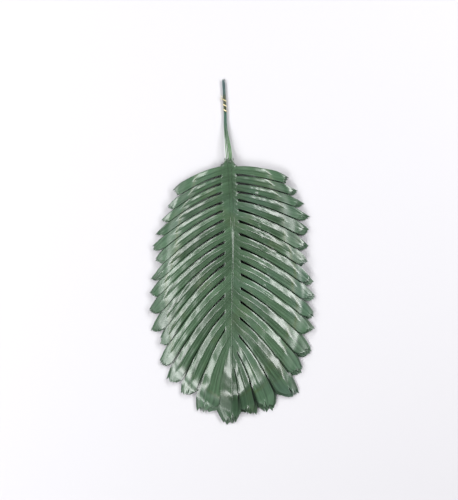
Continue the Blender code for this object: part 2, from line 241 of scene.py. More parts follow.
@dataclass(frozen=True)
class Nest:
    """The stack of leaves: a low dome, nested like spoons, thinner towards the tips."""

    sheet: float = 0.8
    pitch_at_rib: float = 3.8
    pitch_at_tips: float = 2.4
    pitch_at_points: float = 1.75
    dome_height: float = 18.0
    dome_centre: tuple[float, float] = (4.0, -42.0)
    dome_half_width: float = 150.0
    dome_half_length: float = 288.0
    dome_power: float = 1.1
    rim_sharpness: float = 8.0
    count: int = 6
    shifts: tuple[float, ...] = (5.5, -2.5, 1.2, -5.5, 3.2, 0.0)
    crossing: float = 260.0
    spread_step: float = 0.008
    length_step: float = 0.003
    to_middle: tuple[float, float] = (-4.5, -2.4)
    reach_at_collar: float = 330.0
    bend_start: float = 0.72
    bend_power: float = 1.6
    most_bend: float = 1.1
    stiff_above: float = 60.0
    stiff_within: tuple[float, float] = (40.0, 95.0)

    def reach(self, pattern: Pattern) -> tuple[np.ndarray, np.ndarray]:
        """Find how far the leaflets' points reach from the dome's centre.

        Args:
            pattern: The cutting pattern.

        Returns:
            The points' angles in rising order, closed by the collar at both ends, and their distances.
        """
        tips = np.array(pattern.left_tips + pattern.right_tips + (pattern.end_tip,), float)
        away = tips - np.array(self.dome_centre)
        angles = np.arctan2(away[:, 0], -away[:, 1])
        order = np.argsort(angles)
        distances = np.hypot(away[:, 0], away[:, 1])[order]
        collar = (self.reach_at_collar,)
        angles = np.concatenate(((-math.pi,), angles[order], (math.pi,)))
        return angles, np.concatenate((collar, distances, collar))

    def bent_down(self, pattern: Pattern, x: np.ndarray, y: np.ndarray) -> np.ndarray:
        """Find how far the leaflets have bent down.

        Args:
            pattern: The cutting pattern.
            x: Places on the lying leaf, across.
            y: Places on the lying leaf, along.

        Returns:
            0 on the stiff part of the leaf, about 1 at the leaflets' points.
        """
        dx, dy = x - self.dome_centre[0], y - self.dome_centre[1]
        angles, distances = self.reach(pattern)
        share = np.hypot(dx, dy) / np.interp(np.arctan2(dx, -dy), angles, distances)
        bend = np.maximum((share - self.bend_start) / (1.0 - self.bend_start), 0.0) ** self.bend_power
        beside = np.where(dy > self.stiff_above, smoothstep(*self.stiff_within, np.abs(dx)), 1.0)
        return np.minimum(bend, self.most_bend) * beside

    def underside(self, pattern: Pattern, x: np.ndarray, y: np.ndarray, layer: int) -> np.ndarray:
        """Find the height of the underside of one leaf's plain sheet.

        Args:
            pattern: The cutting pattern.
            x: Places on the lying leaf, across.
            y: Places on the lying leaf, along.
            layer: The leaf's place in the stack, 0 at the bottom.

        Returns:
            Heights above the floor.
        """
        across = (x - self.dome_centre[0]) / self.dome_half_width
        along = (y - self.dome_centre[1]) / self.dome_half_length
        rim = across * across + along * along
        inside = np.log1p(np.exp(self.rim_sharpness * (1.0 - rim))) / self.rim_sharpness
        dome = self.dome_height * inside ** self.dome_power
        pitch = self.pitch_at_rib + (self.pitch_at_tips - self.pitch_at_rib) * np.minimum(rim, 1.0)
        thinner = (self.pitch_at_points - self.pitch_at_tips) * self.bent_down(pattern, x, y)
        return dome + layer * (pitch + thinner)

    def place(self, pattern: Pattern, x: np.ndarray, y: np.ndarray,
              layer: int) -> tuple[np.ndarray, np.ndarray]:
        """Lay a leaf on the stack: spread, shifted, and turned about the collar.

        Args:
            pattern: The cutting pattern.
            x: Places on the pattern, across.
            y: Places on the pattern, along.
            layer: The leaf's place in the stack, 0 at the bottom.

        Returns:
            Where those places lie, across and along.
        """
        below = self.count - 1 - layer
        rib = pattern.rib_x(y)
        wide = rib + (x - rib) * (1.0 + self.spread_step * below)
        down = (y - pattern.collar_top) * (1.0 + self.length_step * below)
        turn = self.shifts[layer] / self.crossing
        return wide + self.shifts[layer] + turn * down, pattern.collar_top + down - turn * wide

    def to_world(self, places: np.ndarray) -> np.ndarray:
        """Return places in metres, with the middle of the bundle over the origin."""
        return (places + (*self.to_middle, 0.0)) * MM


# The press: what it raises and sinks in the cloth, in millimetres

@dataclass(frozen=True)
class Press:
    """The relief that the die gives to a leaf; stretches of a leaflet are shares of its length."""

    roof: float = 1.5
    roof_outside: float = 2.4
    roof_in_web: float = 0.45
    roof_hollow: float = 1.4
    roof_rises: tuple[float, float] = (0.0, 0.16)
    roof_grows: tuple[float, float] = (0.25, 0.6)
    vein: float = 0.6
    vein_width: float = 1.15
    vein_in_web: float = 0.5
    vein_grows: tuple[float, float] = (0.0, 0.25)
    groove: float = 0.35
    groove_place: float = -1.9
    groove_width: float = 0.8
    far_groove: float = 0.4
    edge_roll: float = 1.0
    edge_width: float = 1.5
    edge_grows: tuple[float, float] = (0.05, 0.35)
    web_crease: float = 0.28
    web_crease_width: float = 1.3
    web_crease_grows: tuple[float, float] = (0.0, 0.5)
    crown: float = 0.7
    crown_width: float = 10.0
    fade: float = 0.07
    fade_bow: float = 0.09
    rib_offsets: tuple[float, ...] = (0.15, 0.5, 1.0, 1.5, 2.0, 2.4, 2.8, 3.3)
    ridge_heights: tuple[float, ...] = (0.9, 0.62, 0.16, -0.05, -0.1, -0.1, -0.08, 0.0)
    flat_heights: tuple[float, ...] = (0.18, 0.19, 0.2, 0.22, 0.24, -0.75, -0.7, 0.0)
    flat_band: tuple[float, float] = (-10.0, 110.0)

    def rib_heights(self, y: np.ndarray) -> np.ndarray:
        """Find the rib's section: a flat band near the collar, one sharp ridge further down.

        Args:
            y: Places along the rib.

        Returns:
            Heights over the plain sheet, one row for each of rib_offsets.
        """
        flat = smoothstep(*self.flat_band, y)[None, :]
        band, ridge = np.array(self.flat_heights)[:, None], np.array(self.ridge_heights)[:, None]
        return band * flat + ridge * (1.0 - flat)

    def across(self, u: np.ndarray, lateral: np.ndarray) -> tuple[np.ndarray, np.ndarray]:
        """Find a leaflet's section.

        Args:
            u: Places over its width, 1 at its upper edge and -1 at its lower one.
            lateral: The same in millimetres from the vein.

        Returns:
            The roof's share, 1 at the vein, and the height of the vein with the grooves beside it.
        """
        roof = np.clip(1.0 - np.abs(u), 0.0, 1.0) ** self.roof_hollow
        near = hill(lateral - self.groove_place, self.groove_width)
        far = hill(lateral + self.groove_place, self.groove_width)
        return roof, self.vein * hill(lateral, self.vein_width) - self.groove * (near + self.far_groove * far)

    def in_web(self, u: np.ndarray, lateral: np.ndarray, out: np.ndarray, half: float) -> np.ndarray:
        """Find the relief between the rib and the slots' ends.

        Args:
            u: Places over the leaflet's width, 1 at its upper edge and -1 at its lower one.
            lateral: The same in millimetres from the vein.
            out: 0 at the rib, 1 at the slots' ends.
            half: Half the width, in millimetres.

        Returns:
            Heights over the plain sheet.
        """
        roof, vein = self.across(u, lateral)
        crease = self.web_crease * hill((1.0 - np.abs(u)) * half, self.web_crease_width)
        raised = self.roof_in_web * roof * out + self.vein_in_web * vein * np.sqrt(out)
        return raised - crease * smoothstep(*self.web_crease_grows, out)

    def on_leaflet(self, s: np.ndarray, u: np.ndarray, lateral: np.ndarray, half: np.ndarray,
                   tip: "Tip", slotted: tuple[bool, bool]) -> np.ndarray:
        """Find the relief of a leaflet from the slots' ends to its point.

        Args:
            s: Shares of its length.
            u: Places over its width, 1 at its upper edge and -1 at its lower one.
            lateral: The same in millimetres from the vein.
            half: Half the width, in millimetres.
            tip: How the leaflet ends.
            slotted: Whether its upper and its lower edge lie on a slot, and are rolled down.

        Returns:
            Heights over the plain sheet.
        """
        bowed = s + self.fade_bow * np.abs(u)
        pressed = 1.0 - smoothstep(tip.crease - self.fade, tip.crease + self.fade, bowed)
        rise = self.roof_in_web + (self.roof - self.roof_in_web) * smoothstep(*self.roof_rises, s)
        rise = (rise + (self.roof_outside - self.roof) * smoothstep(*self.roof_grows, s)) * tip.roof
        roof, vein = self.across(u, lateral)
        vein = vein * (self.vein_in_web + (1.0 - self.vein_in_web) * smoothstep(*self.vein_grows, s))
        roll = self.web_crease + (self.edge_roll - self.web_crease) * smoothstep(*self.edge_grows, s)
        near_edge = hill((1.0 - np.abs(u)) * half, self.edge_width) * np.where(u >= 0.0, *slotted)
        return (rise * roof + vein - roll * near_edge) * pressed


# A leaf's cloth blade

@dataclass(frozen=True)
class MeshDensity:
    """Where a leaflet's rows and columns of vertices lie."""

    across: tuple[float, ...]
    first: tuple[float, ...]
    rows: int
    web_rows: int
    tip_rows: int
    tip_start: float = 0.84

    @property
    def along(self) -> np.ndarray:
        """Return the rows' shares of a leaflet's length, up to where its ragged end begins."""
        return np.concatenate((self.first, np.linspace(self.first[-1], self.tip_start, self.rows + 1)[1:]))


FINE = MeshDensity(
    across=(1, .95, .86, .72, .58, .44, .31, .21, .13, .06, 0, -.06, -.13, -.21, -.31, -.44, -.58, -.72,
            -.86, -.95, -1),
    first=(0.0, .003, .008, .014, .024, .04, .06), rows=27, web_rows=4, tip_rows=9)
PLAIN = MeshDensity(
    across=(1, .9, .7, .5, .3, .12, 0, -.12, -.25, -.4, -.6, -.8, -.92, -1),
    first=(0.0, .006, .016, .04), rows=17, web_rows=2, tip_rows=7)


@dataclass(frozen=True)
class Tip:
    """How one leaflet ends, in millimetres and degrees."""

    upper: float
    lower: float
    reach: float
    notches: Points
    lift: float
    twist: float
    rise: float
    crease: float
    tone: float
    roof: float
    fold: float
    gap: float


@dataclass
class Patch:
    """A grid of vertices of the blade, laid out on the pattern."""

    points: np.ndarray
    relief: np.ndarray
    along: np.ndarray
    across: np.ndarray
    tone: float
    pressed: np.ndarray


@dataclass(frozen=True)
class TipRanges:
    """The ranges that the leaflets' ends are drawn from, in millimetres, degrees and shares of a length."""

    narrowing: tuple[float, float] = (0.34, 0.56)
    reach_on_top: tuple[float, float] = (-2.0, 0.5)
    reach_below: tuple[float, float] = (-6.0, 2.0)
    reach_parted: tuple[float, float] = (-13.0, -5.0)
    lift: tuple[float, float] = (0.0, 1.6)
    twist: tuple[float, float] = (-4.0, 4.0)
    rise: tuple[float, float] = (-0.8, 0.8)
    crease: tuple[float, float] = (-0.015, 0.015)
    fold: tuple[float, float] = (1.8, 3.4)
    gap: tuple[float, float] = (0.0, 0.5)


@dataclass(frozen=True)
class Collar:
    """The cloth round the stem at the top of a leaf, in millimetres."""

    half_width_on_top: float = 7.5
    half_width_below: float = 4.5
    drop: float = 7.5
    shoulder: float = 5.5
    shoulder_place: tuple[float, float] = (0.25, 0.95)
    spread: float = 1.2
    waist: float = 1.2
    sleeve: float = 1.35
    sunk: float = 0.4
    length: float = 16.0
    rows: int = 7


@dataclass
class Blade:
    """One leaf's blade: coated cloth, cut and pressed, lying on the leaves below it."""

    layer: int
    pattern: Pattern
    nest: Nest
    press: Press
    density: MeshDensity
    collar: Collar = Collar()
    ranges: TipRanges = TipRanges()
    cloth: float = 0.45
    clearance: float = 0.05
    top_slot: tuple[float, float, float] = (2.9, 1.5, 0.9)
    lower_slot: tuple[float, float, float] = (4.2, 2.8, 1.2)
    seed: int = 7
    end_seed: int = 100
    tip_shift: float = 3.0
    left_creases: tuple[float, ...] = (
        .60, .62, .66, .68, .70, .72, .76, .80, .82, .82, .84, .85, .80, .78, .74)
    right_creases: tuple[float, ...] = (
        .69, .62, .67, .68, .70, .72, .77, .80, .76, .80, .80, .74, .75, .78, .72, .64)
    end_crease: float = 0.66
    split_tips: tuple[tuple[Hand | None, int], ...] = (
        (Hand.LEFT, 6), (Hand.LEFT, 13), (Hand.LEFT, 14), (Hand.RIGHT, 13), (Hand.RIGHT, 14),
        (Hand.RIGHT, 15), (None, 0))
    split_depth: float = 19.0
    tooth_roundness: float = 1.4
    end_roundness: tuple[float, float] = (2.6, 1.9)
    deeper_at_end: float = 0.7
    higher_at_end: float = 0.5
    left_short: float = 1.5
    right_short: float = 2.5
    parted: range = range(10, 14)
    parted_gap: float = 1.4
    left_rises: tuple[float, ...] = (3.0, 2.9, 1.9, 0.4, 0.0)
    right_rises: tuple[float, ...] = (3.6, 4.2, 4.0, 3.0, 0.8)
    rise_places: tuple[float, ...] = (0.0, 0.3, 0.5, 0.7, 1.0)
    looseness_below: float = 0.25
    lean: float = 1.5
    lean_low_right: float = 4.5
    low_right_from: int = 6
    loosens: tuple[float, float] = (0.3, 0.9)
    curl_power: float = 1.15
    fold_width: float = 16.0
    fold_run: float = 26.0
    fold_drop: float = 1.5
    waves_from: tuple[float, float] = (0.1, 0.3)
    end_part: tuple[float, float] = (0.72, 0.95)
    gap_opens: tuple[float, float] = (0.45, 0.8)
    end_gap: float = 2.6
    right_gap: float = 0.4
    smooth_below: float = 38.0
    weld: float = 0.004
    ridge_points: int = 4
    dents: tuple[tuple[Points, float, float], ...] = (
        (((53, 131), (57, 92), (58, 66), (62, 40), (66, -21), (72, -66), (78, -95)), 1.3, 1.7),
        (((66, 110), (70, 80), (78, 50), (80, 20)), 0.9, 2.0),
        (((-62, -20), (-64, -28), (-70, -36)), 0.9, 1.9),
        (((-84, -60), (-100, -88), (-112, -110)), 0.6, 3.0),
        (((88, 15), (96, -12), (108, -40)), 0.55, 2.6),
    )
    left: Half = field(init=False)
    right: Half = field(init=False)
    end: Leaflet = field(init=False)
    draw: random.Random = field(init=False)

    @property
    def on_top(self) -> bool:
        """Return whether this is the leaf that lies on all others."""
        return self.layer == self.nest.count - 1

    @property
    def root_rows(self) -> int:
        """Return how many rows a leaflet has from the rib's ridge to the slots' ends."""
        return len(self.press.rib_offsets) + self.density.web_rows + 1

    def __post_init__(self) -> None:
        """Lay out the leaflets, the lower leaves' a little longer or shorter than the pattern's."""
        shifts = random.Random(self.seed + self.layer)
        cut = self.pattern
        self.end = Leaflet(np.array(cut.end_root, float), np.array(cut.end_tip, float), 0.0)
        halves = []
        for hand, tips in ((Hand.LEFT, cut.left_tips), (Hand.RIGHT, cut.right_tips)):
            stretch = [0.0 if self.on_top else shifts.uniform(-1.0, 1.0) * self.tip_shift for _ in tips]
            halves.append(Half(cut, hand, stretch, self.end))
        self.left, self.right = halves
        self.draw = random.Random(self.end_seed + self.layer)

    def _half_gap(self, distance: np.ndarray, s: np.ndarray) -> np.ndarray:
        """Find half a slot's width: round at its inner end, narrower further out.

        Args:
            distance: Millimetres from the slot's inner end.
            s: The same in shares of the leaflet's length.

        Returns:
            Half widths in millimetres.
        """
        start, middle, outer = self.top_slot if self.on_top else self.lower_slot
        width = np.interp(s, (0.0, 0.3, 0.7, 1.0), (start, middle, outer, outer))
        inside = np.clip(distance / start, 0.0, 1.0)
        return width * np.sqrt(np.maximum(1.0 - np.square(1.0 - inside), 0.0))

    def _notches(self, deep: float, split: bool) -> Points:
        """Draw the teeth of one leaflet's cut end.

        Args:
            deep: How deep they are, as a share of the usual depth.
            split: Whether the end is split down its middle as well.

        Returns:
            Places: the share of the width from the upper edge, and the millimetres cut back there.
        """
        draw = self.draw.uniform
        first, tooth, second, last = draw(.16, .30), draw(.38, .50), draw(.56, .66), draw(.74, .84)
        back = draw(0.3, 2.6)
        notches = (
            (0.0, draw(0.0, 2.5)), (first, draw(3.5, 7.0) * deep), (tooth, back * deep),
            (second, back + draw(3.0, 5.5) * deep), (last, back + draw(0.8, 3.0) * deep),
            (1.0, back + draw(3.5, 6.5) * deep))
        if split:
            cleft = ((0.44, back), (0.54, self.split_depth), (0.64, back + 1.5))
            notches = notches[:2] + cleft + notches[-2:]
        return notches

    def _tip(self, hand: Hand | None, i: int) -> Tip:
        """Draw how a leaflet ends.

        Args:
            hand: Its side, or none for the end leaflet.
            i: Its place on that side, from the stem down.

        Returns:
            How it ends.
        """
        draw, ranges = self.draw.uniform, self.ranges
        creases = {Hand.LEFT: self.left_creases, Hand.RIGHT: self.right_creases,
                   None: (self.end_crease,)}[hand]
        down = i / (len(creases) - 1) if hand else 1.0
        at_end = float(smoothstep(*self.end_part, np.array(down)))
        notches = self._notches(1.0 + self.deeper_at_end * at_end, (hand, i) in self.split_tips)
        loose = 1.0 if self.on_top else self.looseness_below
        lean = self.lean_low_right if hand is Hand.RIGHT and i >= self.low_right_from else self.lean
        rises = self.left_rises if hand is Hand.LEFT else self.right_rises
        rise = float(np.interp(down, self.rise_places, rises))
        parted = hand is Hand.LEFT and i in self.parted
        short = {Hand.LEFT: self.left_short, Hand.RIGHT: self.right_short, None: 0.0}[hand]
        reach = ranges.reach_on_top if self.on_top else ranges.reach_parted if parted else ranges.reach_below
        gap = self.end_gap * at_end + self.parted_gap * parted + self.right_gap * (hand is Hand.RIGHT)
        return Tip(
            upper=draw(*ranges.narrowing), lower=draw(*ranges.narrowing), reach=draw(*reach) - short,
            notches=notches, lift=draw(*ranges.lift) * loose, twist=lean + draw(*ranges.twist) * loose,
            rise=(rise + draw(*ranges.rise)) * loose, crease=creases[i] + draw(*ranges.crease),
            tone=draw(0.0, 1.0), roof=1.0 + self.higher_at_end * at_end, fold=draw(*ranges.fold) * at_end,
            gap=gap + draw(*ranges.gap),
        )

    def _leaflet_rows(self, middle: Leaflet, lines: tuple[np.ndarray, np.ndarray], tip: Tip,
                      columns: np.ndarray, slotted: tuple[bool, bool]) -> Patch:
        """Lay out a leaflet from the slots' ends to its ragged point.

        Args:
            middle: The leaflet's midline.
            lines: Its upper and its lower boundary line, one point a row.
            tip: How it ends.
            columns: The columns' places over the width, 1 to -1.
            slotted: Whether its upper and its lower edge lie on a slot.

        Returns:
            The patch, rows by columns.
        """
        s = self.density.along
        centre = middle.at(s)
        edges, reaches = [], []
        for line, free in zip(lines, slotted):
            away = line - centre
            reaches.append(np.linalg.norm(away, axis=-1))
            gap = (self._half_gap(s * middle.length, s) + tip.gap * smoothstep(*self.gap_opens, s)) * free
            edges.append(centre + unit(away) * (reaches[-1] - gap)[:, None])
        upper = (columns >= 0.0)[None, :]
        side = np.where(upper[..., None], edges[0][:, None], edges[1][:, None])
        body = centre[:, None] + (side - centre[:, None]) * np.abs(columns)[None, :, None]
        rows = np.concatenate((body, self._ragged_end(middle, edges, tip, columns)))
        half = np.where(upper, reaches[0][:, None], reaches[1][:, None])
        half = np.concatenate((half, np.repeat(half[-1:], self.density.tip_rows, axis=0)))
        u = columns[None, :] + np.zeros_like(half)
        lateral = half * u
        shares = np.concatenate((s, np.linspace(s[-1], 1.0, self.density.tip_rows + 1)[1:]))
        shares = shares[:, None] + np.zeros_like(half)
        relief = self.press.on_leaflet(shares, u, lateral, half, tip, slotted)
        relief = relief + self._loosened(shares, u, lateral, tip, slotted, middle.length)
        pressed = 1.0 - smoothstep(tip.crease - 0.02, tip.crease + 0.03, shares)
        return Patch(rows, relief, shares * middle.length, lateral, tip.tone, pressed)

    def _loosened(self, s: np.ndarray, u: np.ndarray, lateral: np.ndarray, tip: Tip,
                  slotted: tuple[bool, bool], length: float) -> np.ndarray:
        """Find how far a leaflet strays from its pressed shape: lifted, leant, curled up, folded and waved.

        Args:
            s: Shares of its length.
            u: Places over its width, 1 at its upper edge and -1 at its lower one.
            lateral: The same in millimetres from the vein.
            tip: How it ends.
            slotted: Whether its upper and its lower edge lie on a slot.
            length: Its length.

        Returns:
            Heights over the pressed leaflet.
        """
        free = np.where(u >= 0.0, *slotted).astype(float)
        leant = (tip.lift - lateral * math.tan(math.radians(tip.twist))) * smoothstep(*self.loosens, s)
        leant = leant * (free + (1.0 - free) * (1.0 - np.abs(u)))
        curled = tip.rise * smoothstep(tip.crease - 0.05, 1.1, s) ** self.curl_power
        past = (s - tip.crease) * length
        hump, drop = hill(np.minimum(past, 0.0), self.fold_width), smoothstep(0.0, self.fold_run, past)
        waves = self._waves(s * length, tip.tone) * smoothstep(*self.waves_from, s)
        return leant + curled + tip.fold * (hump - self.fold_drop * drop) + waves

    def _waves(self, along: np.ndarray, phase: float) -> np.ndarray:
        """Return the slow waves along a leaflet of the top leaf, in millimetres."""
        slow = np.sin(along * 0.11 + 40.0 * phase) * 0.45 + np.sin(along * 0.27 + 90.0 * phase) * 0.14
        return slow if self.on_top else np.zeros_like(along)

    def _ragged_end(self, middle: Leaflet, edges: list[np.ndarray], tip: Tip,
                    columns: np.ndarray) -> np.ndarray:
        """Lay out the rows past the leaflet's straight part, running out to its teeth.

        Args:
            middle: The leaflet's midline.
            edges: Its upper and its lower edge, up to where the ragged end starts.
            tip: How it ends.
            columns: The columns' places over the width, 1 to -1.

        Returns:
            The rows' points, rows by columns by 2.
        """
        ahead = middle.ahead(np.array(1.0))
        start = self.density.along[-1]
        q = np.linspace(0.0, 1.0, self.density.tip_rows + 1)[1:]
        centre = middle.at(start + (1.0 - start) * q) + ahead * (tip.reach * q)[:, None]
        offsets = []
        for line, width, roundness in zip(edges, (tip.upper, tip.lower), self.end_roundness):
            away = self._carry_on(line) - middle.tip
            square = away - ahead * np.dot(away, ahead)
            first = line[-1] - middle.at(np.array(start))
            share = (q ** roundness)[:, None]
            offsets.append(first * (1.0 - share) + square * width * share)
        side = np.where((columns >= 0.0)[None, :, None], offsets[0][:, None], offsets[1][:, None])
        cut = np.interp((1.0 - columns) / 2.0, *np.array(tip.notches).T)
        back = ahead * (cut[None, :] * (q ** self.tooth_roundness)[:, None])[..., None]
        return centre[:, None] + side * np.abs(columns)[None, :, None] - back

    def _carry_on(self, line: np.ndarray) -> np.ndarray:
        """Return where a boundary line, known up to the ragged end's start, reaches the point's level."""
        step = self.density.along[-1] - self.density.along[-2]
        return line[-1] + (line[-1] - line[-2]) / step * (1.0 - self.density.along[-1])

    def _web_rows(self, half: Half, i: int, tip: Tip) -> Patch:
        """Lay out the root of leaflet i: the rib's flank and the web, from the ridge to the slots' ends.

        Args:
            half: The leaflet's side.
            i: Its place on that side.
            tip: How it ends.

        Returns:
            The patch, rows by columns.
        """
        press, u, count = self.press, np.array(self.density.across), self.density.web_rows
        high, low, root = half.corners[i], half.corners[i + 1], half.leaflets[i].root
        y = half.station(i) + (half.station(i + 1) - half.station(i)) * (1.0 - u) / 2.0
        offsets = np.array(press.rib_offsets)[:, None] * self.pattern.rib_scale(y)[None, :]
        rib_x = self.pattern.rib_x(y) + half.hand.value * offsets
        rib = np.stack((rib_x, y + np.zeros_like(offsets)), axis=-1)
        outer = np.where((u >= 0.0)[:, None], high - root, low - root) * np.abs(u)[:, None] + root
        t = (np.arange(1, count + 1) / (count + 1))[:, None, None]
        points = np.concatenate((rib, rib[-1][None] * (1.0 - t) + outer[None] * t))
        half_width = float(np.linalg.norm(high - low)) / 2.0
        lateral = half_width * u[None, :] + np.zeros((len(points), 1))
        web_relief = press.in_web(u[None, :], lateral[-count:], t[..., 0], half_width)
        relief = np.concatenate((press.rib_heights(y), web_relief))
        distance = np.linalg.norm(points - outer[None], axis=-1)
        return Patch(points, relief, -distance, lateral, tip.tone, np.ones_like(relief))

    def _side_patch(self, half: Half, i: int) -> Patch:
        """Lay out a leaflet of a side, from the rib's ridge to its point.

        Args:
            half: The side.
            i: The leaflet's place on it.

        Returns:
            The patch, rows by columns.
        """
        tip = self._tip(half.hand, i)
        s = self.density.along
        joined = half.hand is Hand.LEFT and i == len(half.leaflets) - 1
        inner = self._web_rows(half, i, tip)
        outer = self._leaflet_rows(half.leaflets[i], (half.boundary(i, s), half.boundary(i + 1, s)), tip,
                                   np.array(self.density.across), (True, not joined))
        rows = {name: np.concatenate((getattr(inner, name), getattr(outer, name)))
                for name in ("points", "relief", "along", "across", "pressed")}
        return Patch(tone=tip.tone, **rows)

    def _end_patch(self, left: Patch, right: Patch) -> Patch:
        """Lay out the leaflet at the rib's end, between both sides' last leaflets.

        Args:
            left: The left side's last leaflet.
            right: The right side's last leaflet.

        Returns:
            The patch; its first row has ridge_points of its own between the two sides.
        """
        count = self.root_rows
        left_points, left_relief = left.points[:count, -1], left.relief[:count, -1]
        right_points, right_relief = right.points[:count, -1], right.relief[:count, -1]
        extra_y = np.linspace(left_points[0][1], right_points[0][1], self.ridge_points + 2)[1:-1]
        ridge = self.press.rib_offsets[0] * self.pattern.rib_scale(extra_y)
        extra = np.stack((self.pattern.rib_x(extra_y) - ridge, extra_y), axis=-1)
        first = np.concatenate((left_points[::-1], extra, right_points))
        first_relief = np.concatenate((left_relief[::-1], self.press.rib_heights(extra_y)[0], right_relief))
        shares = np.linalg.norm(left_points - left_points[0], axis=-1)
        left_u = (0.12 + 0.88 * shares / shares[-1])[::-1]
        shares = np.linalg.norm(right_points - right_points[0], axis=-1)
        right_u = -shares / shares[-1] * 0.98 - 0.02
        extra_u = 0.12 * (1.0 - np.arange(1, len(extra) + 1) / (len(extra) + 1.0))
        s = self.density.along
        lines = tuple(half.boundary(len(half.leaflets), s) for half in (self.left, self.right))
        patch = self._leaflet_rows(self.end, lines, self._tip(None, 0),
                                   np.concatenate((left_u, extra_u, right_u)), (False, True))
        fade = 1.0 - smoothstep(0.0, 0.3, patch.along[:, :1] / self.end.length)
        patch.points = patch.points + (first - patch.points[0])[None] * fade[..., None]
        patch.relief = patch.relief + (first_relief - patch.relief[0])[None] * fade
        return patch

    def _collar_patch(self, half: Half, first: Patch) -> Patch:
        """Lay out one half of the collar, above the first leaflet, up to where the stem comes out.

        Args:
            half: The collar's side.
            first: The first leaflet of that side.

        Returns:
            The patch, rows by columns.
        """
        collar, cut, sign = self.collar, self.pattern, half.hand.value
        base, base_relief = first.points[:self.root_rows, 0], first.relief[:self.root_rows, 0]
        share = np.linspace(0.0, 1.0, self.root_rows)
        top_y = cut.collar_top - collar.drop + collar.shoulder * smoothstep(*collar.shoulder_place, share)
        ridge = self.press.rib_offsets[0] * cut.rib_scale(top_y)
        wide = collar.half_width_on_top if self.on_top else collar.half_width_below
        x = cut.rib_x(top_y) + sign * (ridge + (wide - ridge) * share ** collar.spread)
        top = np.stack((x, top_y), axis=-1)
        t = np.linspace(0.0, 1.0, collar.rows)[:, None]
        flare = np.stack((t if self.on_top else t ** 3, t), axis=-1)
        points = top[None] * (1.0 - flare) + base[None] * flare
        bowed = collar.waist * np.sin(math.pi * t) * share[None, :]
        points = points - np.array((sign, 0.0)) * bowed[..., None]
        top_relief = collar.sleeve * np.sqrt(1.0 - np.square(share))[None, :] - collar.sunk
        eased = smoothstep(0.0, 1.0, t)
        relief = top_relief * (1.0 - eased) + base_relief[None] * eased
        along = -(1.0 - t) * collar.length + np.zeros_like(relief)
        across = np.linalg.norm(points - points[:, :1], axis=-1)
        return Patch(points, relief, along, across, 0.5, np.ones_like(relief))

    def _dents(self, x: np.ndarray, y: np.ndarray) -> np.ndarray:
        """Find the shallow dents that handling left on the top leaf.

        Args:
            x: Places on the pattern, across.
            y: Places on the pattern, along.

        Returns:
            Heights in millimetres: a low wall, beaten up and down, with a furrow beside it.
        """
        heights = np.zeros_like(x)
        for path, height, width in self.dents if self.on_top else ():
            nodes = np.array(path, float)
            nearest = np.full(x.shape, np.inf)
            for start, run in zip(nodes, np.diff(nodes, axis=0)):
                dx, dy = x - start[0], y - start[1]
                share = np.clip((dx * run[0] + dy * run[1]) / np.dot(run, run), 0.0, 1.0)
                nearest = np.minimum(nearest, np.hypot(dx - run[0] * share, dy - run[1] * share))
            beat = 0.55 + 0.45 * np.sin(y * 0.9 + 1.3 * np.sin(y * 0.23))
            wall = hill(nearest, width) - 0.8 * hill(nearest - 1.7 * width, width)
            heights = heights + height * beat * wall
        return heights

    def _heights(self, patch: Patch) -> np.ndarray:
        """Lift a patch's vertices onto the leaves below.

        Args:
            patch: The patch.

        Returns:
            The vertices in metres, rows by columns by 3.
        """
        x, y = patch.points[..., 0], patch.points[..., 1]
        crown = self.press.crown * hill(x - self.pattern.rib_x(y), self.press.crown_width)
        lying_x, lying_y = self.nest.place(self.pattern, x, y, self.layer)
        under = self.nest.underside(self.pattern, lying_x, lying_y, self.layer)
        z = under + self.nest.sheet + patch.relief + crown + self._dents(x, y)
        z = np.maximum(z, self.cloth + self.clearance)
        return self.nest.to_world(np.stack((lying_x, lying_y, z), axis=-1))

    def build(self, shop: "Workshop") -> bpy.types.Object:
        """Make the blade's mesh.

        Args:
            shop: What makes and finishes meshes.

        Returns:
            The blade as one closed object.
        """
        lefts, rights = ([self._side_patch(half, i) for i in range(len(half.leaflets))]
                         for half in (self.left, self.right))
        end = self._end_patch(lefts[-1], rights[-1])
        collars = [self._collar_patch(self.left, lefts[0]), self._collar_patch(self.right, rights[0])]
        pieces = [shop.grid(self._heights(patch), patch) for patch in (*lefts, *rights, end, *collars)]
        ridges = [[self._heights(collar)[:, 0]] + [self._heights(patch)[0] for patch in side]
                  for collar, side in zip(collars, (lefts, rights))]
        ridges[0].append(self._heights(end)[0][self.root_rows:self.root_rows + self.ridge_points])
        pieces.append(shop.lace(*(np.concatenate(ridge) for ridge in ridges)))
        blade = shop.join(f"leaf_{self.layer + 1}_cloth", pieces)
        shop.weld(blade, self.weld * MM)
        shop.thicken(blade, self.cloth * MM)
        shop.smooth(blade, self.smooth_below)
        return blade


# Making meshes

def put(name: str, data: bpy.types.ID) -> bpy.types.Object:
    """Add an object to the scene.

    Args:
        name: Its name.
        data: Its mesh, lamp or lens.

    Returns:
        The object.
    """
    made = bpy.data.objects.new(name, data)
    bpy.context.scene.collection.objects.link(made)
    return made


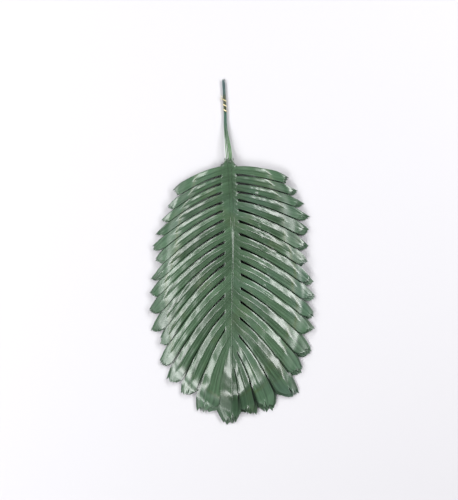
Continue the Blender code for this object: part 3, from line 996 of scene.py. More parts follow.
class Workshop:
    """Makes grids, joins them and finishes them with Blender's own tools."""

    def __init__(self) -> None:
        """Start with no blanks."""
        self._blanks: dict[tuple[int, int], bpy.types.Mesh] = {}

    @staticmethod
    def pick(*pieces: bpy.types.Object) -> None:
        """Deselect all, then select these pieces.

        Args:
            pieces: What is selected; the first is made active.
        """
        for thing in bpy.context.selected_objects:
            thing.select_set(False)
        for piece in reversed(pieces):
            piece.select_set(True)
            bpy.context.view_layer.objects.active = piece

    def _blank(self, rows: int, columns: int) -> tuple[bpy.types.Mesh, np.ndarray]:
        """Make a flat grid.

        Args:
            rows: How many rows of vertices it has.
            columns: How many columns.

        Returns:
            Its mesh, and each vertex's (row, column).
        """
        if (rows, columns) not in self._blanks:
            self.pick()
            bpy.ops.mesh.primitive_grid_add(x_subdivisions=columns - 1, y_subdivisions=rows - 1, size=2.0)
            made = bpy.context.object
            self._blanks[rows, columns] = made.data
            bpy.data.objects.remove(made)
        mesh = self._blanks[rows, columns].copy()
        flat = np.empty(len(mesh.vertices) * 3)
        mesh.vertices.foreach_get("co", flat)
        share = (flat.reshape(-1, 3)[:, (1, 0)] + 1.0) / 2.0
        return mesh, np.rint(share * (rows - 1, columns - 1)).astype(int)

    def sheet(self, places: np.ndarray, layout: np.ndarray, tint: np.ndarray) -> bpy.types.Object:
        """Shape a grid.

        Args:
            places: The vertices in metres, rows by columns by 3.
            layout: Their places on the flat cloth in metres, rows by columns by 2.
            tint: What the finish reads at each, rows by columns by 3.

        Returns:
            The grid as an object.
        """
        rows, columns = places.shape[:2]
        mesh, spots = self._blank(rows, columns)
        row, column = spots.T
        mesh.vertices.foreach_set("co", places[row, column].ravel())
        corner = np.empty(len(mesh.loops), np.int32)
        mesh.loops.foreach_get("vertex_index", corner)
        for layer in list(mesh.uv_layers):
            mesh.uv_layers.remove(layer)
        chart = mesh.uv_layers.new(name="layout")
        chart.uv.foreach_set("vector", layout[row, column][corner].ravel())
        shade = mesh.color_attributes.new("tint", "FLOAT_COLOR", "CORNER")
        values = np.concatenate((tint, np.ones((rows, columns, 1))), axis=-1)
        shade.data.foreach_set("color", values[row, column][corner].ravel())
        return put("patch", mesh)

    def grid(self, places: np.ndarray, patch: Patch) -> bpy.types.Object:
        """Shape a patch of a blade, whose finish reads its tone, pressing and edges.

        Args:
            places: The patch's vertices in metres.
            patch: The patch.

        Returns:
            The patch as an object.
        """
        layout = np.stack((patch.along, patch.across), axis=-1) * MM
        tone = np.full_like(patch.pressed, patch.tone)
        width = np.abs(patch.across) / max(float(np.abs(patch.across).max()), 1.0)
        return self.sheet(places, layout, np.stack((tone, patch.pressed, width), axis=-1))

    def lace(self, first: np.ndarray, second: np.ndarray) -> bpy.types.Object:
        """Fill the strip between two chains of points with triangles.

        Args:
            first: The left chain's points in metres, from the stem down.
            second: The right chain's.

        Returns:
            The strip as an object.
        """
        strip = bmesh.new()
        chart = strip.loops.layers.uv.new("layout")
        shade = strip.loops.layers.float_color.new("tint")
        chains = [[strip.verts.new(point) for point in self._apart(chain)] for chain in (first, second)]
        i = j = 0
        while i < len(chains[0]) - 1 or j < len(chains[1]) - 1:
            more_first, more_second = i < len(chains[0]) - 1, j < len(chains[1]) - 1
            ahead = more_first and more_second and chains[0][i + 1].co.y >= chains[1][j + 1].co.y
            if more_first and (not more_second or ahead):
                face = strip.faces.new((chains[0][i], chains[0][i + 1], chains[1][j]))
                i += 1
            else:
                face = strip.faces.new((chains[0][i], chains[1][j + 1], chains[1][j]))
                j += 1
            for loop in face.loops:
                loop[chart].uv = (loop.vert.co.y, 0.0)
                loop[shade] = (0.5, 1.0, 0.0, 1.0)
        mesh = bpy.data.meshes.new("ridge")
        strip.to_mesh(mesh)
        strip.free()
        return put("ridge", mesh)

    @staticmethod
    def _apart(chain: np.ndarray) -> np.ndarray:
        """Return a chain without the points that repeat the one before."""
        far = np.linalg.norm(np.diff(chain, axis=0), axis=-1) > 0.004 * MM
        return chain[np.concatenate(((True,), far))]

    def join(self, name: str, pieces: list[bpy.types.Object]) -> bpy.types.Object:
        """Join objects into one.

        Args:
            name: What the joined object is called.
            pieces: The objects.

        Returns:
            The joined object.
        """
        self.pick(*pieces)
        bpy.ops.object.join()
        made = bpy.context.object
        made.name = made.data.name = name
        return made

    def weld(self, piece: bpy.types.Object, distance: float, up: bool = True) -> None:
        """Merge a piece's doubled vertices and turn its faces out.

        Args:
            piece: The piece.
            distance: How near, in metres, vertices are merged.
            up: Whether it is an open sheet, which faces up.
        """
        self.pick(piece)
        bpy.ops.object.mode_set(mode="EDIT")
        bpy.ops.mesh.select_all(action="SELECT")
        bpy.ops.mesh.remove_doubles(threshold=distance)
        bpy.ops.mesh.normals_make_consistent(inside=False)
        bpy.ops.object.mode_set(mode="OBJECT")
        normals = np.empty(len(piece.data.polygons) * 3)
        piece.data.polygons.foreach_get("normal", normals)
        if up and normals.reshape(-1, 3)[:, 2].sum() < 0.0:
            piece.data.flip_normals()

    def thicken(self, piece: bpy.types.Object, thickness: float, offset: float = -1.0) -> None:
        """Give a sheet its thickness.

        Args:
            piece: The sheet.
            thickness: Its thickness in metres.
            offset: -1 to thicken it downwards, 0 both ways.
        """
        solid = piece.modifiers.new("Thickness", "SOLIDIFY")
        solid.thickness = thickness
        solid.offset = offset
        self.pick(piece)
        bpy.ops.object.modifier_apply(modifier=solid.name)

    def smooth(self, piece: bpy.types.Object, degrees: float) -> None:
        """Shade a piece smooth, with edges sharper than an angle kept."""
        self.pick(piece)
        bpy.ops.object.shade_smooth_by_angle(angle=math.radians(degrees))

    @staticmethod
    def dress(piece: bpy.types.Object, look: bpy.types.Material) -> None:
        """Give a piece one material."""
        piece.data.materials.clear()
        piece.data.materials.append(look)

    def tube(self, places: np.ndarray, radii: np.ndarray, sides: int, tint: np.ndarray) -> bpy.types.Object:
        """Wrap a grid into a round tube along points.

        Args:
            places: The tube's middle line, one point a ring.
            radii: Each ring's radius; 0 closes an end.
            sides: How many faces go round it.
            tint: What the finish reads at each ring, rings by 3.

        Returns:
            The tube as an object, its seam and ends welded.
        """
        ahead = unit(np.gradient(places, axis=0))
        ahead[np.linalg.norm(ahead, axis=-1) < 0.5] = (0.0, 1.0, 0.0)
        side = unit(np.cross(ahead, np.array((0.0, 0.0, 1.0))))
        up = np.cross(side, ahead)
        turn = np.linspace(0.0, math.tau, sides + 1)
        ring = side[:, None] * np.cos(turn)[None, :, None] + up[:, None] * np.sin(turn)[None, :, None]
        verts = places[:, None] + ring * radii[:, None, None]
        run = np.concatenate(((0.0,), np.cumsum(np.linalg.norm(np.diff(places, axis=0), axis=-1))))
        layout = np.stack(np.broadcast_arrays(run[:, None], turn[None, :] * MM), axis=-1)
        made = self.sheet(verts, layout, np.repeat(tint[:, None], sides + 1, axis=1))
        self.weld(made, SEAM, up=False)
        return made


# The stems

@dataclass
class Stem:
    """One leaf's stem: wire in a green plastic cover, under the blade's rib and out to its cut end."""

    layer: int
    pattern: Pattern
    nest: Nest
    radius: float = 0.9
    drop: float = 1.75
    rib_relief: float = 1.2
    start_y: float = -160.0
    end_y: float = 351.0
    stagger: tuple[float, ...] = (2.0, -3.0, 0.0, 1.0, -4.5, -1.0)
    bundle_start: tuple[float, float] = (-9.8, 282.0)
    bundle_end: tuple[float, float] = (-13.7, 356.0)
    gather: tuple[float, float] = (196.0, 278.0)
    bow: float = 2.2
    packing_radius: float = 2.1
    packing_angles: tuple[float | None, ...] = (306.0, 234.0, None, 162.0, 18.0, 90.0)
    bundle_height: float = 3.8
    wire_radius: float = 0.42
    sides: int = 14
    crease_angle: float = 50.0
    covered_until_y: tuple[float, float] = (190.0, 192.0)
    rings: tuple[int, int] = (60, 90)
    round_end: tuple[tuple[float, float], ...] = ((0.12, 0.0), (0.11, 0.85), (0.06, 0.97))
    cut_cover: tuple[tuple[float, float], ...] = ((0.05, 0.97), (0.12, 0.88))
    cut_wire: tuple[tuple[float, float], ...] = ((0.13, 1.0), (0.7, 1.0), (0.85, 0.7714), (0.86, 0.0))

    def _route(self, y: np.ndarray) -> np.ndarray:
        """Find the stem's middle line.

        Args:
            y: Places along it, in the pattern's millimetres.

        Returns:
            The line's points there, in millimetres.
        """
        under_y = np.minimum(y, self.pattern.collar_top)
        x, _ = self.nest.place(self.pattern, self.pattern.rib_x(under_y), under_y, self.layer)
        z = self.nest.underside(self.pattern, x, under_y, self.layer) + self.rib_relief - self.drop
        (x0, y0), (x1, y1) = self.bundle_start, self.bundle_end
        bundle_x = x0 + (x1 - x0) * (y - y0) / (y1 - y0)
        bundle_z = np.full_like(bundle_x, self.bundle_height)
        angle = self.packing_angles[self.layer]
        if angle is not None:
            bundle_x = bundle_x + self.packing_radius * math.cos(math.radians(angle))
            bundle_z = bundle_z + self.packing_radius * math.sin(math.radians(angle))
        ease = smoothstep(*self.gather, y)
        share = np.clip((y - self.gather[0]) / (self.gather[1] - self.gather[0]), 0.0, 1.0)
        bowed = self.bow * np.sin(math.pi * share)
        return np.stack((x + (bundle_x - x) * ease - bowed, y, z + (bundle_z - z) * ease), axis=-1)

    def build(self, shop: Workshop) -> bpy.types.Object:
        """Make the stem's mesh, its cover cut square and the wire showing at the cut.

        Args:
            shop: What makes and finishes meshes.

        Returns:
            The stem as one closed object.
        """
        (covered, open_from), (hidden_rings, open_rings) = self.covered_until_y, self.rings
        y = np.concatenate((np.linspace(self.start_y, covered, hidden_rings),
                            np.linspace(open_from, self.end_y + self.stagger[self.layer], open_rings)))
        route = self._route(y)
        cut = unit(route[-1] - route[-2])
        places = np.concatenate((
            [route[0] - (0.0, back, 0.0) for back, _ in self.round_end], route,
            [route[-1] + cut * off for off, _ in self.cut_cover + self.cut_wire]))
        wave = 1.0 + 0.05 * np.sin(y * 0.31 + self.layer) + 0.03 * np.sin(y * 1.13 + 2.0 * self.layer)
        radii = np.concatenate((
            [self.radius * share for _, share in self.round_end], self.radius * wave,
            [self.radius * share for _, share in self.cut_cover],
            [self.wire_radius * share for _, share in self.cut_wire]))
        bare = np.zeros(len(places))
        bare[-len(self.cut_wire):] = 1.0
        tint = np.stack((np.full_like(bare, (self.layer * 0.37) % 1.0), bare, np.zeros_like(bare)), axis=-1)
        made = shop.tube(self.nest.to_world(places), radii * MM, self.sides, tint)
        made.name = made.data.name = f"leaf_{self.layer + 1}_wire"
        shop.smooth(made, self.crease_angle)
        return made


# The twist tie

@dataclass
class TwistTie:
    """A foil ribbon with a wire in its middle, wound round the stems and twisted shut."""

    stem: Stem
    nest: Nest
    radius: float = 3.32
    slack: float = 0.05
    band: float = 2.6
    foil: float = 0.28
    pitch: float = 10.4
    turns: float = 2.62
    start_y: float = 285.0
    first_angle: float = -0.64
    wire: float = 0.32
    wire_width: float = 0.26
    rings_a_turn: int = 64
    band_columns: int = 15
    tail_lengths: tuple[float, float] = (9.0, 6.0)
    tail_turns: float = 1.6
    tail_band: float = 1.9
    tail_directions: tuple[Triple, Triple] = ((-0.42, 0.88, 0.2), (-0.93, -0.1, 0.3))
    tail_sags: tuple[float, float] = (0.96, -1.6)
    tail_rings: int = 60
    tail_columns: int = 11
    crease_angle: float = 45.0

    def _axis(self) -> tuple[np.ndarray, np.ndarray]:
        """Find the winding's axis.

        Returns:
            Its lower end and its direction.
        """
        (x0, y0), (x1, y1) = self.stem.bundle_start, self.stem.bundle_end
        ends = []
        for y in (self.start_y, self.start_y + self.turns * self.pitch):
            ends.append(np.array((x0 + (x1 - x0) * (y - y0) / (y1 - y0), y, self.stem.bundle_height)))
        return ends[0], unit(ends[1] - ends[0])

    def _ribbon(self, shop: Workshop, places: np.ndarray, length: np.ndarray, v: np.ndarray,
                band: float) -> bpy.types.Object:
        """Make a stretch of ribbon, whose finish reads how near its edges are.

        Args:
            shop: What makes meshes.
            places: Its vertices in millimetres, rows by columns by 3.
            length: Each row's place along it.
            v: Each column's place over its width, -1 to 1.
            band: Its width.

        Returns:
            The ribbon as an object, still without thickness.
        """
        layout = np.stack(np.broadcast_arrays(length[:, None], v[None, :] * band / 2.0), axis=-1) * MM
        tint = np.zeros_like(places)
        tint[..., 0] = np.abs(v)
        return shop.sheet(self.nest.to_world(places), layout, tint)

    def _band(self, shop: Workshop) -> tuple[bpy.types.Object, np.ndarray]:
        """Make the wound stretch of the ribbon.

        Args:
            shop: What makes meshes.

        Returns:
            The stretch, and the place where it ends.
        """
        low, axis = self._axis()
        across = unit(np.cross(axis, np.array((0.0, 0.0, 1.0))))
        up = np.cross(across, axis)
        along = np.linspace(0.0, 1.0, round(self.turns * self.rings_a_turn) + 1)
        v = np.linspace(-1.0, 1.0, self.band_columns)
        wound = along * self.turns * math.tau
        turn = (wound + self.first_angle)[:, None]
        crinkle = 0.07 * np.sin(turn * 17.0 + 3.0 * v) + 0.05 * np.sin(turn * 29.0 - 5.0 * v + 1.0)
        radius = self.radius + self.slack + self.wire * hill(v, self.wire_width)[None, :]
        radius = radius + crinkle * (0.4 + 0.6 * np.abs(v)) + 0.08 * np.cos(turn * 6.0)
        reach = along[:, None] * self.turns * self.pitch + v * self.band / 2.0 + 0.14 * np.sin(turn)
        ring = across * np.cos(turn)[..., None] + up * np.sin(turn)[..., None]
        places = low + axis * reach[..., None] + ring * radius[..., None]
        return self._ribbon(shop, places, wound * self.radius, v, self.band), places[-1, len(v) // 2]

    def _tail(self, shop: Workshop, n: int, start: np.ndarray) -> bpy.types.Object:
        """Make one of the ribbon's two twisted ends.

        Args:
            shop: What makes meshes.
            n: Which end, 0 or 1.
            start: Where both ends leave the winding.

        Returns:
            The end as an object.
        """
        axis, reach = unit(np.array(self.tail_directions[n])), self.tail_lengths[n]
        side = unit(np.cross(axis, np.array((0.0, 0.0, 1.0))))
        up = np.cross(axis, side)
        along = np.linspace(0.0, 1.0, self.tail_rings)
        v = np.linspace(-1.0, 1.0, self.tail_columns)
        turn = (math.pi * n + math.tau * self.tail_turns * along)[:, None]
        apart = (0.5 + 0.9 * smoothstep(0.55, 1.0, along))[:, None]
        curl = side * np.cos(turn) + up * np.sin(turn)
        sag = np.array((0.0, 0.0, self.tail_sags[n])) * np.square(along)[:, None]
        middle = start + axis * (reach * along)[:, None] + curl * apart + sag
        flat = unit((up * np.cos(turn) - side * np.sin(turn)) * 0.9 + axis * 0.25)
        crinkle = 0.08 * np.sin(along * 40.0 + 4.0 * n)[:, None] * v[None, :]
        bulge = self.wire * 0.8 * hill(v, 0.3)[None, :] + crinkle
        width = self.tail_band / 2.0 * (1.0 - 0.25 * smoothstep(0.9, 1.0, along))[:, None] * v[None, :]
        places = middle[:, None] + flat[:, None] * width[..., None] + curl[:, None] * bulge[..., None]
        return self._ribbon(shop, places, along * reach, v, self.tail_band)

    def build(self, shop: Workshop) -> bpy.types.Object:
        """Make the tie.

        Args:
            shop: What makes and finishes meshes.

        Returns:
            The tie as one object.
        """
        band, end = self._band(shop)
        tie = shop.join("tie_ribbon", [band, self._tail(shop, 0, end), self._tail(shop, 1, end)])
        shop.weld(tie, SEAM, up=False)
        shop.thicken(tie, self.foil * MM, 0.0)
        shop.smooth(tie, self.crease_angle)
        return tie


# Finishes

class Value:
    """A number or colour on a shader socket; Python's operators add Math nodes."""

    def __init__(self, graph: "Graph", socket: bpy.types.NodeSocket) -> None:
        """Wrap a socket of a graph."""
        self.graph = graph
        self.socket = socket

    def _math(self, operation: str, *values: "Value | float") -> "Value":
        """Add a Math node on values."""
        return self.graph.add("ShaderNodeMath", {"operation": operation}, dict(enumerate(values)))

    def __add__(self, other: "Value | float") -> "Value":
        """Return self + other."""
        return self._math("ADD", self, other)

    def __radd__(self, other: float) -> "Value":
        """Return other + self."""
        return self._math("ADD", other, self)

    def __sub__(self, other: "Value | float") -> "Value":
        """Return self - other."""
        return self._math("SUBTRACT", self, other)

    def __rsub__(self, other: float) -> "Value":
        """Return other - self."""
        return self._math("SUBTRACT", other, self)

    def __mul__(self, other: "Value | float") -> "Value":
        """Return self * other."""
        return self._math("MULTIPLY", self, other)

    def __rmul__(self, other: float) -> "Value":
        """Return other * self."""
        return self._math("MULTIPLY", other, self)

    def __truediv__(self, other: "Value | float") -> "Value":
        """Return self / other."""
        return self._math("DIVIDE", self, other)

    def __abs__(self) -> "Value":
        """Return self without its sign."""
        return self._math("ABSOLUTE", self)

    def sine(self) -> "Value":
        """Return the sine of self."""
        return self._math("SINE", self)

    def ease(self, low: float, high: float) -> "Value":
        """Ease from 0 at low to 1 at high.

        Args:
            low: Where the ease starts.
            high: Where it ends.

        Returns:
            The eased share, 0 to 1.
        """
        return self.graph.add("ShaderNodeMapRange", {"interpolation_type": "SMOOTHSTEP"},
                              {"Value": self, "From Min": low, "From Max": high})


class Graph:
    """The node tree of a new material, on one Principled shader."""

    def __init__(self, name: str) -> None:
        """Make the material.

        Args:
            name: What it is called.
        """
        self.material = bpy.data.materials.new(name)
        self.material.use_nodes = True
        self.tree = self.material.node_tree
        self.shader = self.tree.nodes["Principled BSDF"]

    def add(self, kind: str, settings: dict | None = None, inputs: dict | None = None,
            output: int | str = 0) -> Value:
        """Add a node.

        Args:
            kind: The node's type.
            settings: What is set on the node first.
            inputs: Values or links for its sockets, by name or number.
            output: Which output is returned.

        Returns:
            The output as a value.
        """
        node = self.tree.nodes.new(kind)
        for name, value in (settings or {}).items():
            setattr(node, name, value)
        for key, value in (inputs or {}).items():
            self.feed(node.inputs[key], value)
        return Value(self, node.outputs[output])

    def feed(self, socket: bpy.types.NodeSocket, value: "Value | float | tuple") -> None:
        """Set a socket, or link a value to it.

        Args:
            socket: The socket.
            value: What it gets; a colour has three numbers.
        """
        if isinstance(value, Value):
            self.tree.links.new(value.socket, socket)
        elif isinstance(value, tuple) and socket.type == "RGBA":
            socket.default_value = (*value, 1.0)
        else:
            socket.default_value = value

    def blend(self, factor: "Value | float", first: "Value | Triple", second: "Value | Triple",
              how: str = "MIX") -> Value:
        """Mix two colours.

        Args:
            factor: The second colour's share.
            first: The colour at 0.
            second: The colour at 1.
            how: Blender's name for the way they are mixed.

        Returns:
            The mixed colour.
        """
        settings = {"data_type": "RGBA", "blend_type": how}
        return self.add("ShaderNodeMix", settings, {0: factor, 6: first, 7: second}, 2)

    def noise(self, vector: Value, scale: float, detail: float = 2.0, roughness: float = 0.5) -> Value:
        """Return noise, about 0.2 to 0.8."""
        return self.add("ShaderNodeTexNoise", None,
                        {"Vector": vector, "Scale": scale, "Detail": detail, "Roughness": roughness})

    def place(self) -> Value:
        """Return the place on the object, in metres."""
        return self.add("ShaderNodeTexCoord", None, None, "Object")

    def layout(self) -> Value:
        """Return the place on the flat cloth or ribbon, along and across, in metres."""
        return self.add("ShaderNodeUVMap", {"uv_map": "layout"})

    def tint(self) -> tuple[Value, Value, Value]:
        """Return the three numbers that the piece's maker left for its finish."""
        return self.parts(self.add("ShaderNodeAttribute", {"attribute_name": "tint"}, None, "Vector"))

    def stretch(self, vector: Value, scale: Triple, rotation: Triple = (0.0, 0.0, 0.0)) -> Value:
        """Return a vector turned and scaled."""
        return self.add("ShaderNodeMapping", None, {"Vector": vector, "Scale": scale, "Rotation": rotation})

    def parts(self, vector: Value) -> tuple[Value, Value, Value]:
        """Take a vector or a colour apart.

        Args:
            vector: The vector or colour.

        Returns:
            Its three numbers.
        """
        node = self.tree.nodes.new("ShaderNodeSeparateXYZ")
        self.feed(node.inputs[0], vector)
        return tuple(Value(self, socket) for socket in node.outputs)

    def bump(self, height: Value, distance: float, strength: float, under: Value | None = None) -> Value:
        """Raise a relief.

        Args:
            height: Its height, 0 to 1.
            distance: What 1 is, in metres.
            strength: How far it shows, 0 to 1.
            under: The normal of a relief that it lies on.

        Returns:
            The normal.
        """
        inputs = {"Height": height, "Distance": distance, "Strength": strength}
        if under is not None:
            inputs["Normal"] = under
        return self.add("ShaderNodeBump", None, inputs)

    def set(self, **sockets: "Value | float | tuple") -> bpy.types.Material:
        """Feed the shader's sockets.

        Args:
            sockets: What each gets, by its name with underscores for spaces.

        Returns:
            The finished material.
        """
        for name, value in sockets.items():
            self.feed(self.shader.inputs[name.replace("_", " ")], value)
        return self.material


@dataclass(frozen=True)
class CoatedCloth:
    """Woven cloth with a satin green coat, as artificial leaves are pressed from."""

    deep: Triple = (0.016, 0.047, 0.016)
    middle: Triple = (0.060, 0.128, 0.063)
    cool: Triple = (0.050, 0.104, 0.074)
    warm: Triple = (0.056, 0.090, 0.026)
    creased: Triple = (0.052, 0.088, 0.016)
    groove_shade: Triple = (0.009, 0.024, 0.009)
    dust_and_sheen: Triple = (0.12, 0.18, 0.125)
    groove_place: float = -0.0019
    groove_width: float = 0.0013
    beside_rib: float = 0.05
    collar_y: tuple[float, float] = (0.176, 0.183)
    weave_pitch: float = 0.0015
    weave_height: float = 0.00007
    streak_height: float = 0.0006
    wide_streak_height: float = 0.0021
    lump_height: float = 0.0004
    roughness: float = 0.38
    coat_roughness: float = 0.28
    coat_ior: float = 1.7

    def make(self) -> bpy.types.Material:
        """Mix the green, give it its weave and streaks, and coat it.

        Returns:
            The material.
        """
        g = Graph("coated_green_cloth")
        place, layout = g.place(), g.layout()
        tone, pressed, _ = g.tint()
        broad = g.noise(place, 16.0, 3.0)
        fine = g.noise(place, 190.0, 4.0, 0.6)
        gloss = g.noise(place, 46.0, 3.0, 0.6)
        streaks = g.noise(g.stretch(layout, (14.0, 640.0, 1.0)), 1.0, 3.0, 0.55)
        wide_streaks = g.noise(g.stretch(layout, (9.0, 210.0, 1.0)), 1.0, 2.0, 0.5)
        across, along, _ = g.parts(g.stretch(place, (1.0, 1.0, 0.0), (0.0, 0.0, math.radians(45.0))))
        turn = math.pi / self.weave_pitch
        weave = (across * turn).sine() * (along * turn).sine()

        shade = (broad - 0.5) * 1.2 + (tone - 0.5) * 0.45 + (streaks - 0.5) * 1.3 + (wide_streaks - 0.5) * 2.6
        green = g.blend((shade + 0.5).ease(0.0, 1.0), self.deep, self.middle)
        _, lateral, _ = g.parts(layout)
        # Painted shade: the pressed groove beside each vein is darkened in the colour as well as sunk in the
        # relief.
        groove = (1.0 - abs(lateral - self.groove_place) / self.groove_width).ease(0.0, 0.9) * pressed
        green = g.blend(groove * 0.6, green, self.groove_shade)
        green = g.blend(g.noise(place, 9.0).ease(0.52, 0.72) * 0.45, green, self.cool)
        green = g.blend(g.noise(place, 23.0).ease(0.55, 0.75) * 0.35, green, self.warm)
        at_crease = pressed * (1.0 - pressed) * 4.0
        green = g.blend(at_crease * broad.ease(0.35, 0.6) * 0.7, green, self.creased)
        green = g.blend((1.0 - pressed) * 0.2, green, self.cool)
        x, y, _ = g.parts(place)
        near_rib = (1.0 - abs(x) / self.beside_rib).ease(0.1, 0.7)
        green = g.blend(near_rib * 0.3, green, self.deep)
        green = g.blend(y.ease(*self.collar_y) * 0.75, green, self.deep)
        # Paler green on the weave's thread tops is a painted sheen; the fine specks mixed in with it are
        # paler dust.
        dust_and_sheen_share = weave.ease(-0.2, 0.9) * 0.10 + fine.ease(0.5, 0.8) * 0.10
        green = g.blend(dust_and_sheen_share, green, self.dust_and_sheen)

        rough = self.roughness + (gloss - 0.5) * 0.20 + (fine - 0.5) * 0.08 - weave * 0.03
        relief = g.bump(weave * 0.5 + 0.5, self.weave_height, 0.8)
        relief = g.bump(streaks * (0.3 + 0.7 * pressed), self.streak_height, 0.8, relief)
        relief = g.bump(wide_streaks * (0.25 + 0.75 * pressed), self.wide_streak_height, 1.0, relief)
        relief = g.bump(g.noise(place, 70.0) * 0.7 + broad * 0.6, self.lump_height, 0.7, relief)
        return g.set(Base_Color=green, Roughness=rough, Normal=relief, Coat_Weight=1.0,
                     Coat_Roughness=self.coat_roughness, Coat_IOR=self.coat_ior, Specular_IOR_Level=0.2)


@dataclass(frozen=True)
class CoveredWire:
    """Green plastic cover over wire, bluer towards the cut end, with bare steel at the cut."""

    near_blade: Triple = (0.105, 0.26, 0.085)
    halfway: Triple = (0.075, 0.17, 0.09)
    near_tie: Triple = (0.045, 0.15, 0.105)
    tie_shade_and_reflection: Triple = (0.075, 0.075, 0.028)
    at_cut: Triple = (0.08, 0.15, 0.155)
    scuffed: Triple = (0.35, 0.50, 0.36)
    steel: Triple = (0.42, 0.41, 0.39)
    darkest: Triple = (0.45, 0.5, 0.45)
    tie_y: tuple[float, float, float, float] = (0.280, 0.286, 0.314, 0.322)
    scuff_depth: float = 0.00012
    roughness: float = 0.34

    def make(self) -> bpy.types.Material:
        """Shade the cover along its length, scuff it and bare the wire at the cut.

        Returns:
            The material.
        """
        g = Graph("green_wire_cover")
        place = g.place()
        tone, bare, _ = g.tint()
        _, y, _ = g.parts(place)
        loose_y = y + (g.noise(place, 60.0) - 0.5) * 0.03
        green = g.blend(loose_y.ease(0.200, 0.245), self.near_blade, self.halfway)
        green = g.blend(loose_y.ease(0.235, 0.275), green, self.near_tie)
        green = g.blend(loose_y.ease(0.305, 0.33), green, self.at_cut)
        green = g.blend(tone * 0.75, green, g.blend(1.0, green, self.darkest, "MULTIPLY"))
        scuffs = g.noise(g.stretch(place, (900.0, 60.0, 900.0)), 1.0, 3.0)
        green = g.blend(scuffs.ease(0.56, 0.8) * 0.5, green, self.scuffed)
        # Painted shade and a painted gold reflection: the cover is darkened to olive where the tie winds
        # round it.
        wound = y.ease(*self.tie_y[:2]) * (1.0 - y.ease(*self.tie_y[2:]))
        green = g.blend(wound * 0.8, green, self.tie_shade_and_reflection)
        colour = g.blend(bare, green, self.steel)
        rough = self.roughness + (scuffs - 0.5) * 0.25
        return g.set(Base_Color=colour, Roughness=rough, Normal=g.bump(scuffs, self.scuff_depth, 0.7),
                     Metallic=bare, Coat_Weight=0.2, Coat_Roughness=0.2)


@dataclass(frozen=True)
class GoldFoil:
    """Gold foil, crinkled, its lacquer worn on the ribbon's edges."""

    gold: Triple = (0.86, 0.72, 0.36)
    pale: Triple = (0.93, 0.88, 0.66)
    crinkle_height: float = 0.00016
    roughness: float = 0.22

    def make(self) -> bpy.types.Material:
        """Crinkle the foil and wear its edges.

        Returns:
            The material.
        """
        g = Graph("gold_foil")
        edge, _, _ = g.tint()
        ribs = g.noise(g.stretch(g.layout(), (2600.0, 500.0, 1.0)), 1.0, 2.0)
        blotch = g.noise(g.place(), 500.0, 3.0)
        colour = g.blend((edge * 0.6 + blotch * 0.7 - 0.2).ease(0.2, 0.9), self.gold, self.pale)
        relief = g.bump(ribs * 0.6 + blotch * 0.4, self.crinkle_height, 0.8)
        return g.set(Base_Color=colour, Roughness=self.roughness + blotch * 0.16, Normal=relief, Metallic=1.0)


@dataclass(frozen=True)
class PalePaper:
    """The smooth pale surface under the leaves."""

    white: Triple = (0.597, 0.59, 0.613)
    darker: float = 0.992
    roughness: float = 0.75

    def make(self) -> bpy.types.Material:
        """Mix the paper's white.

        Returns:
            The material.
        """
        g = Graph("pale_floor")
        grain = g.noise(g.place(), 35.0, 3.0)
        colour = g.blend(grain * 0.5, self.white, tuple(part * self.darker for part in self.white))
        return g.set(Base_Color=colour, Roughness=self.roughness, Specular_IOR_Level=0.2)


# The studio

@dataclass(frozen=True)
class Softbox:
    """A flat lamp that faces the leaves; its size is level width by slanting height."""

    name: str
    place: Triple
    size: tuple[float, float]
    radiance: float

    def light(self) -> None:
        """Put the lamp up."""
        width, height = self.size
        lamp = bpy.data.lights.new(self.name, "AREA")
        lamp.shape = "RECTANGLE"
        lamp.size, lamp.size_y = width, height
        lamp.energy = self.radiance * math.pi * width * height
        holder = put(self.name, lamp)
        holder.location = self.place
        holder.rotation_euler = (-Vector(self.place)).to_track_quat("-Z", "Y").to_euler()


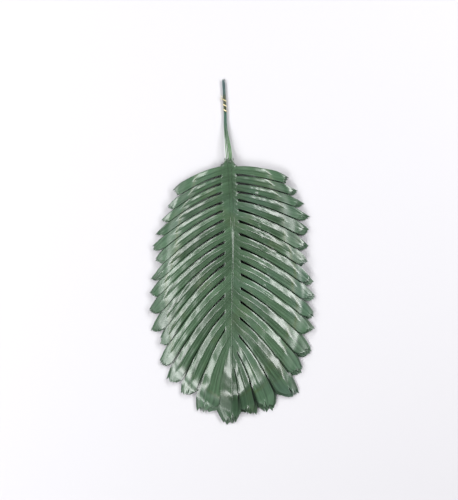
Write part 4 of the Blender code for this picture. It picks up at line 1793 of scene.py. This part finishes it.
@dataclass(frozen=True)
class Studio:
    """A pale floor, soft lamps and a camera straight above the leaves."""

    floor_size: float = 9.0
    floor_drop: float = 0.0001
    camera_height: float = 3.2
    frame_height: float = 1.025
    aim: tuple[float, float] = (-0.0066, 0.0007)
    sensor: float = 24.0
    air: Triple = (0.97, 0.965, 1.0)
    air_strength: float = 0.16
    lamps: tuple[Softbox, ...] = (
        Softbox("left near", (-1.35, -1.1, 2.1), (1.5, 0.95), 9.5),
        Softbox("left", (-2.5, 0.5, 2.1), (1.7, 0.8), 10.5),
        Softbox("left far", (-1.95, 2.0, 2.1), (1.3, 0.85), 11.5),
        Softbox("right far", (1.7, 2.0, 2.1), (1.3, 0.85), 14.5),
        Softbox("right", (2.35, 0.35, 2.1), (1.7, 0.65), 15.0),
    )

    def _floor(self, shop: Workshop) -> None:
        """Lay the floor.

        Args:
            shop: What dresses it.
        """
        shop.pick()
        bpy.ops.mesh.primitive_plane_add(size=self.floor_size, location=(0.0, 0.0, -self.floor_drop))
        bpy.ops.object.transform_apply(location=True, rotation=True, scale=True)
        floor = bpy.context.object
        floor.name = "floor"
        shop.dress(floor, PalePaper().make())

    def _air(self) -> None:
        """Fill the room with even pale light."""
        world = bpy.data.worlds.new("room")
        world.use_nodes = True
        sky = world.node_tree.nodes["Background"]
        sky.inputs["Color"].default_value = (*self.air, 1.0)
        sky.inputs["Strength"].default_value = self.air_strength
        bpy.context.scene.world = world

    def _camera(self) -> None:
        """Hang the camera straight above, the stems at the top of its frame."""
        lens = bpy.data.cameras.new("above")
        lens.sensor_fit = "VERTICAL"
        lens.sensor_height = self.sensor
        lens.lens = self.sensor * self.camera_height / self.frame_height
        holder = put("above", lens)
        holder.location = (*self.aim, self.camera_height)
        bpy.context.scene.camera = holder

    def build(self, shop: Workshop) -> None:
        """Set the studio up.

        Args:
            shop: What dresses the floor.
        """
        self._floor(shop)
        self._air()
        self._camera()
        for lamp in self.lamps:
            lamp.light()
        bpy.context.scene.view_settings.view_transform = "Standard"


def hand_over(piece: bpy.types.Object, node: str) -> None:
    """Let a piece stand for a CAD node, and report it.

    Args:
        piece: The piece.
        node: The CAD node's name.
    """
    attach(piece, "root")
    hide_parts(node)
    log.info("%s stands for %s: %d faces", piece.name, node, len(piece.data.polygons))


def main() -> None:
    """Build the studio, the leaves, their stems and the tie."""
    shop = Workshop()
    pattern, nest, press = Pattern(), Nest(), Press()
    Studio().build(shop)
    cloth = CoatedCloth().make()
    cover = CoveredWire().make()
    foil = GoldFoil().make()
    stems = []
    for layer in range(nest.count):
        density = FINE if layer == nest.count - 1 else PLAIN
        blade = Blade(layer, pattern, nest, press, density).build(shop)
        shop.dress(blade, cloth)
        hand_over(blade, f"leaf_{layer + 1}_blade")
        stems.append(Stem(layer, pattern, nest))
        wire = stems[-1].build(shop)
        shop.dress(wire, cover)
        hand_over(wire, f"leaf_{layer + 1}_stem")
    tie = TwistTie(stems[0], nest).build(shop)
    shop.dress(tie, foil)
    hand_over(tie, "twist_tie")


if __name__ == "__main__":
    main()
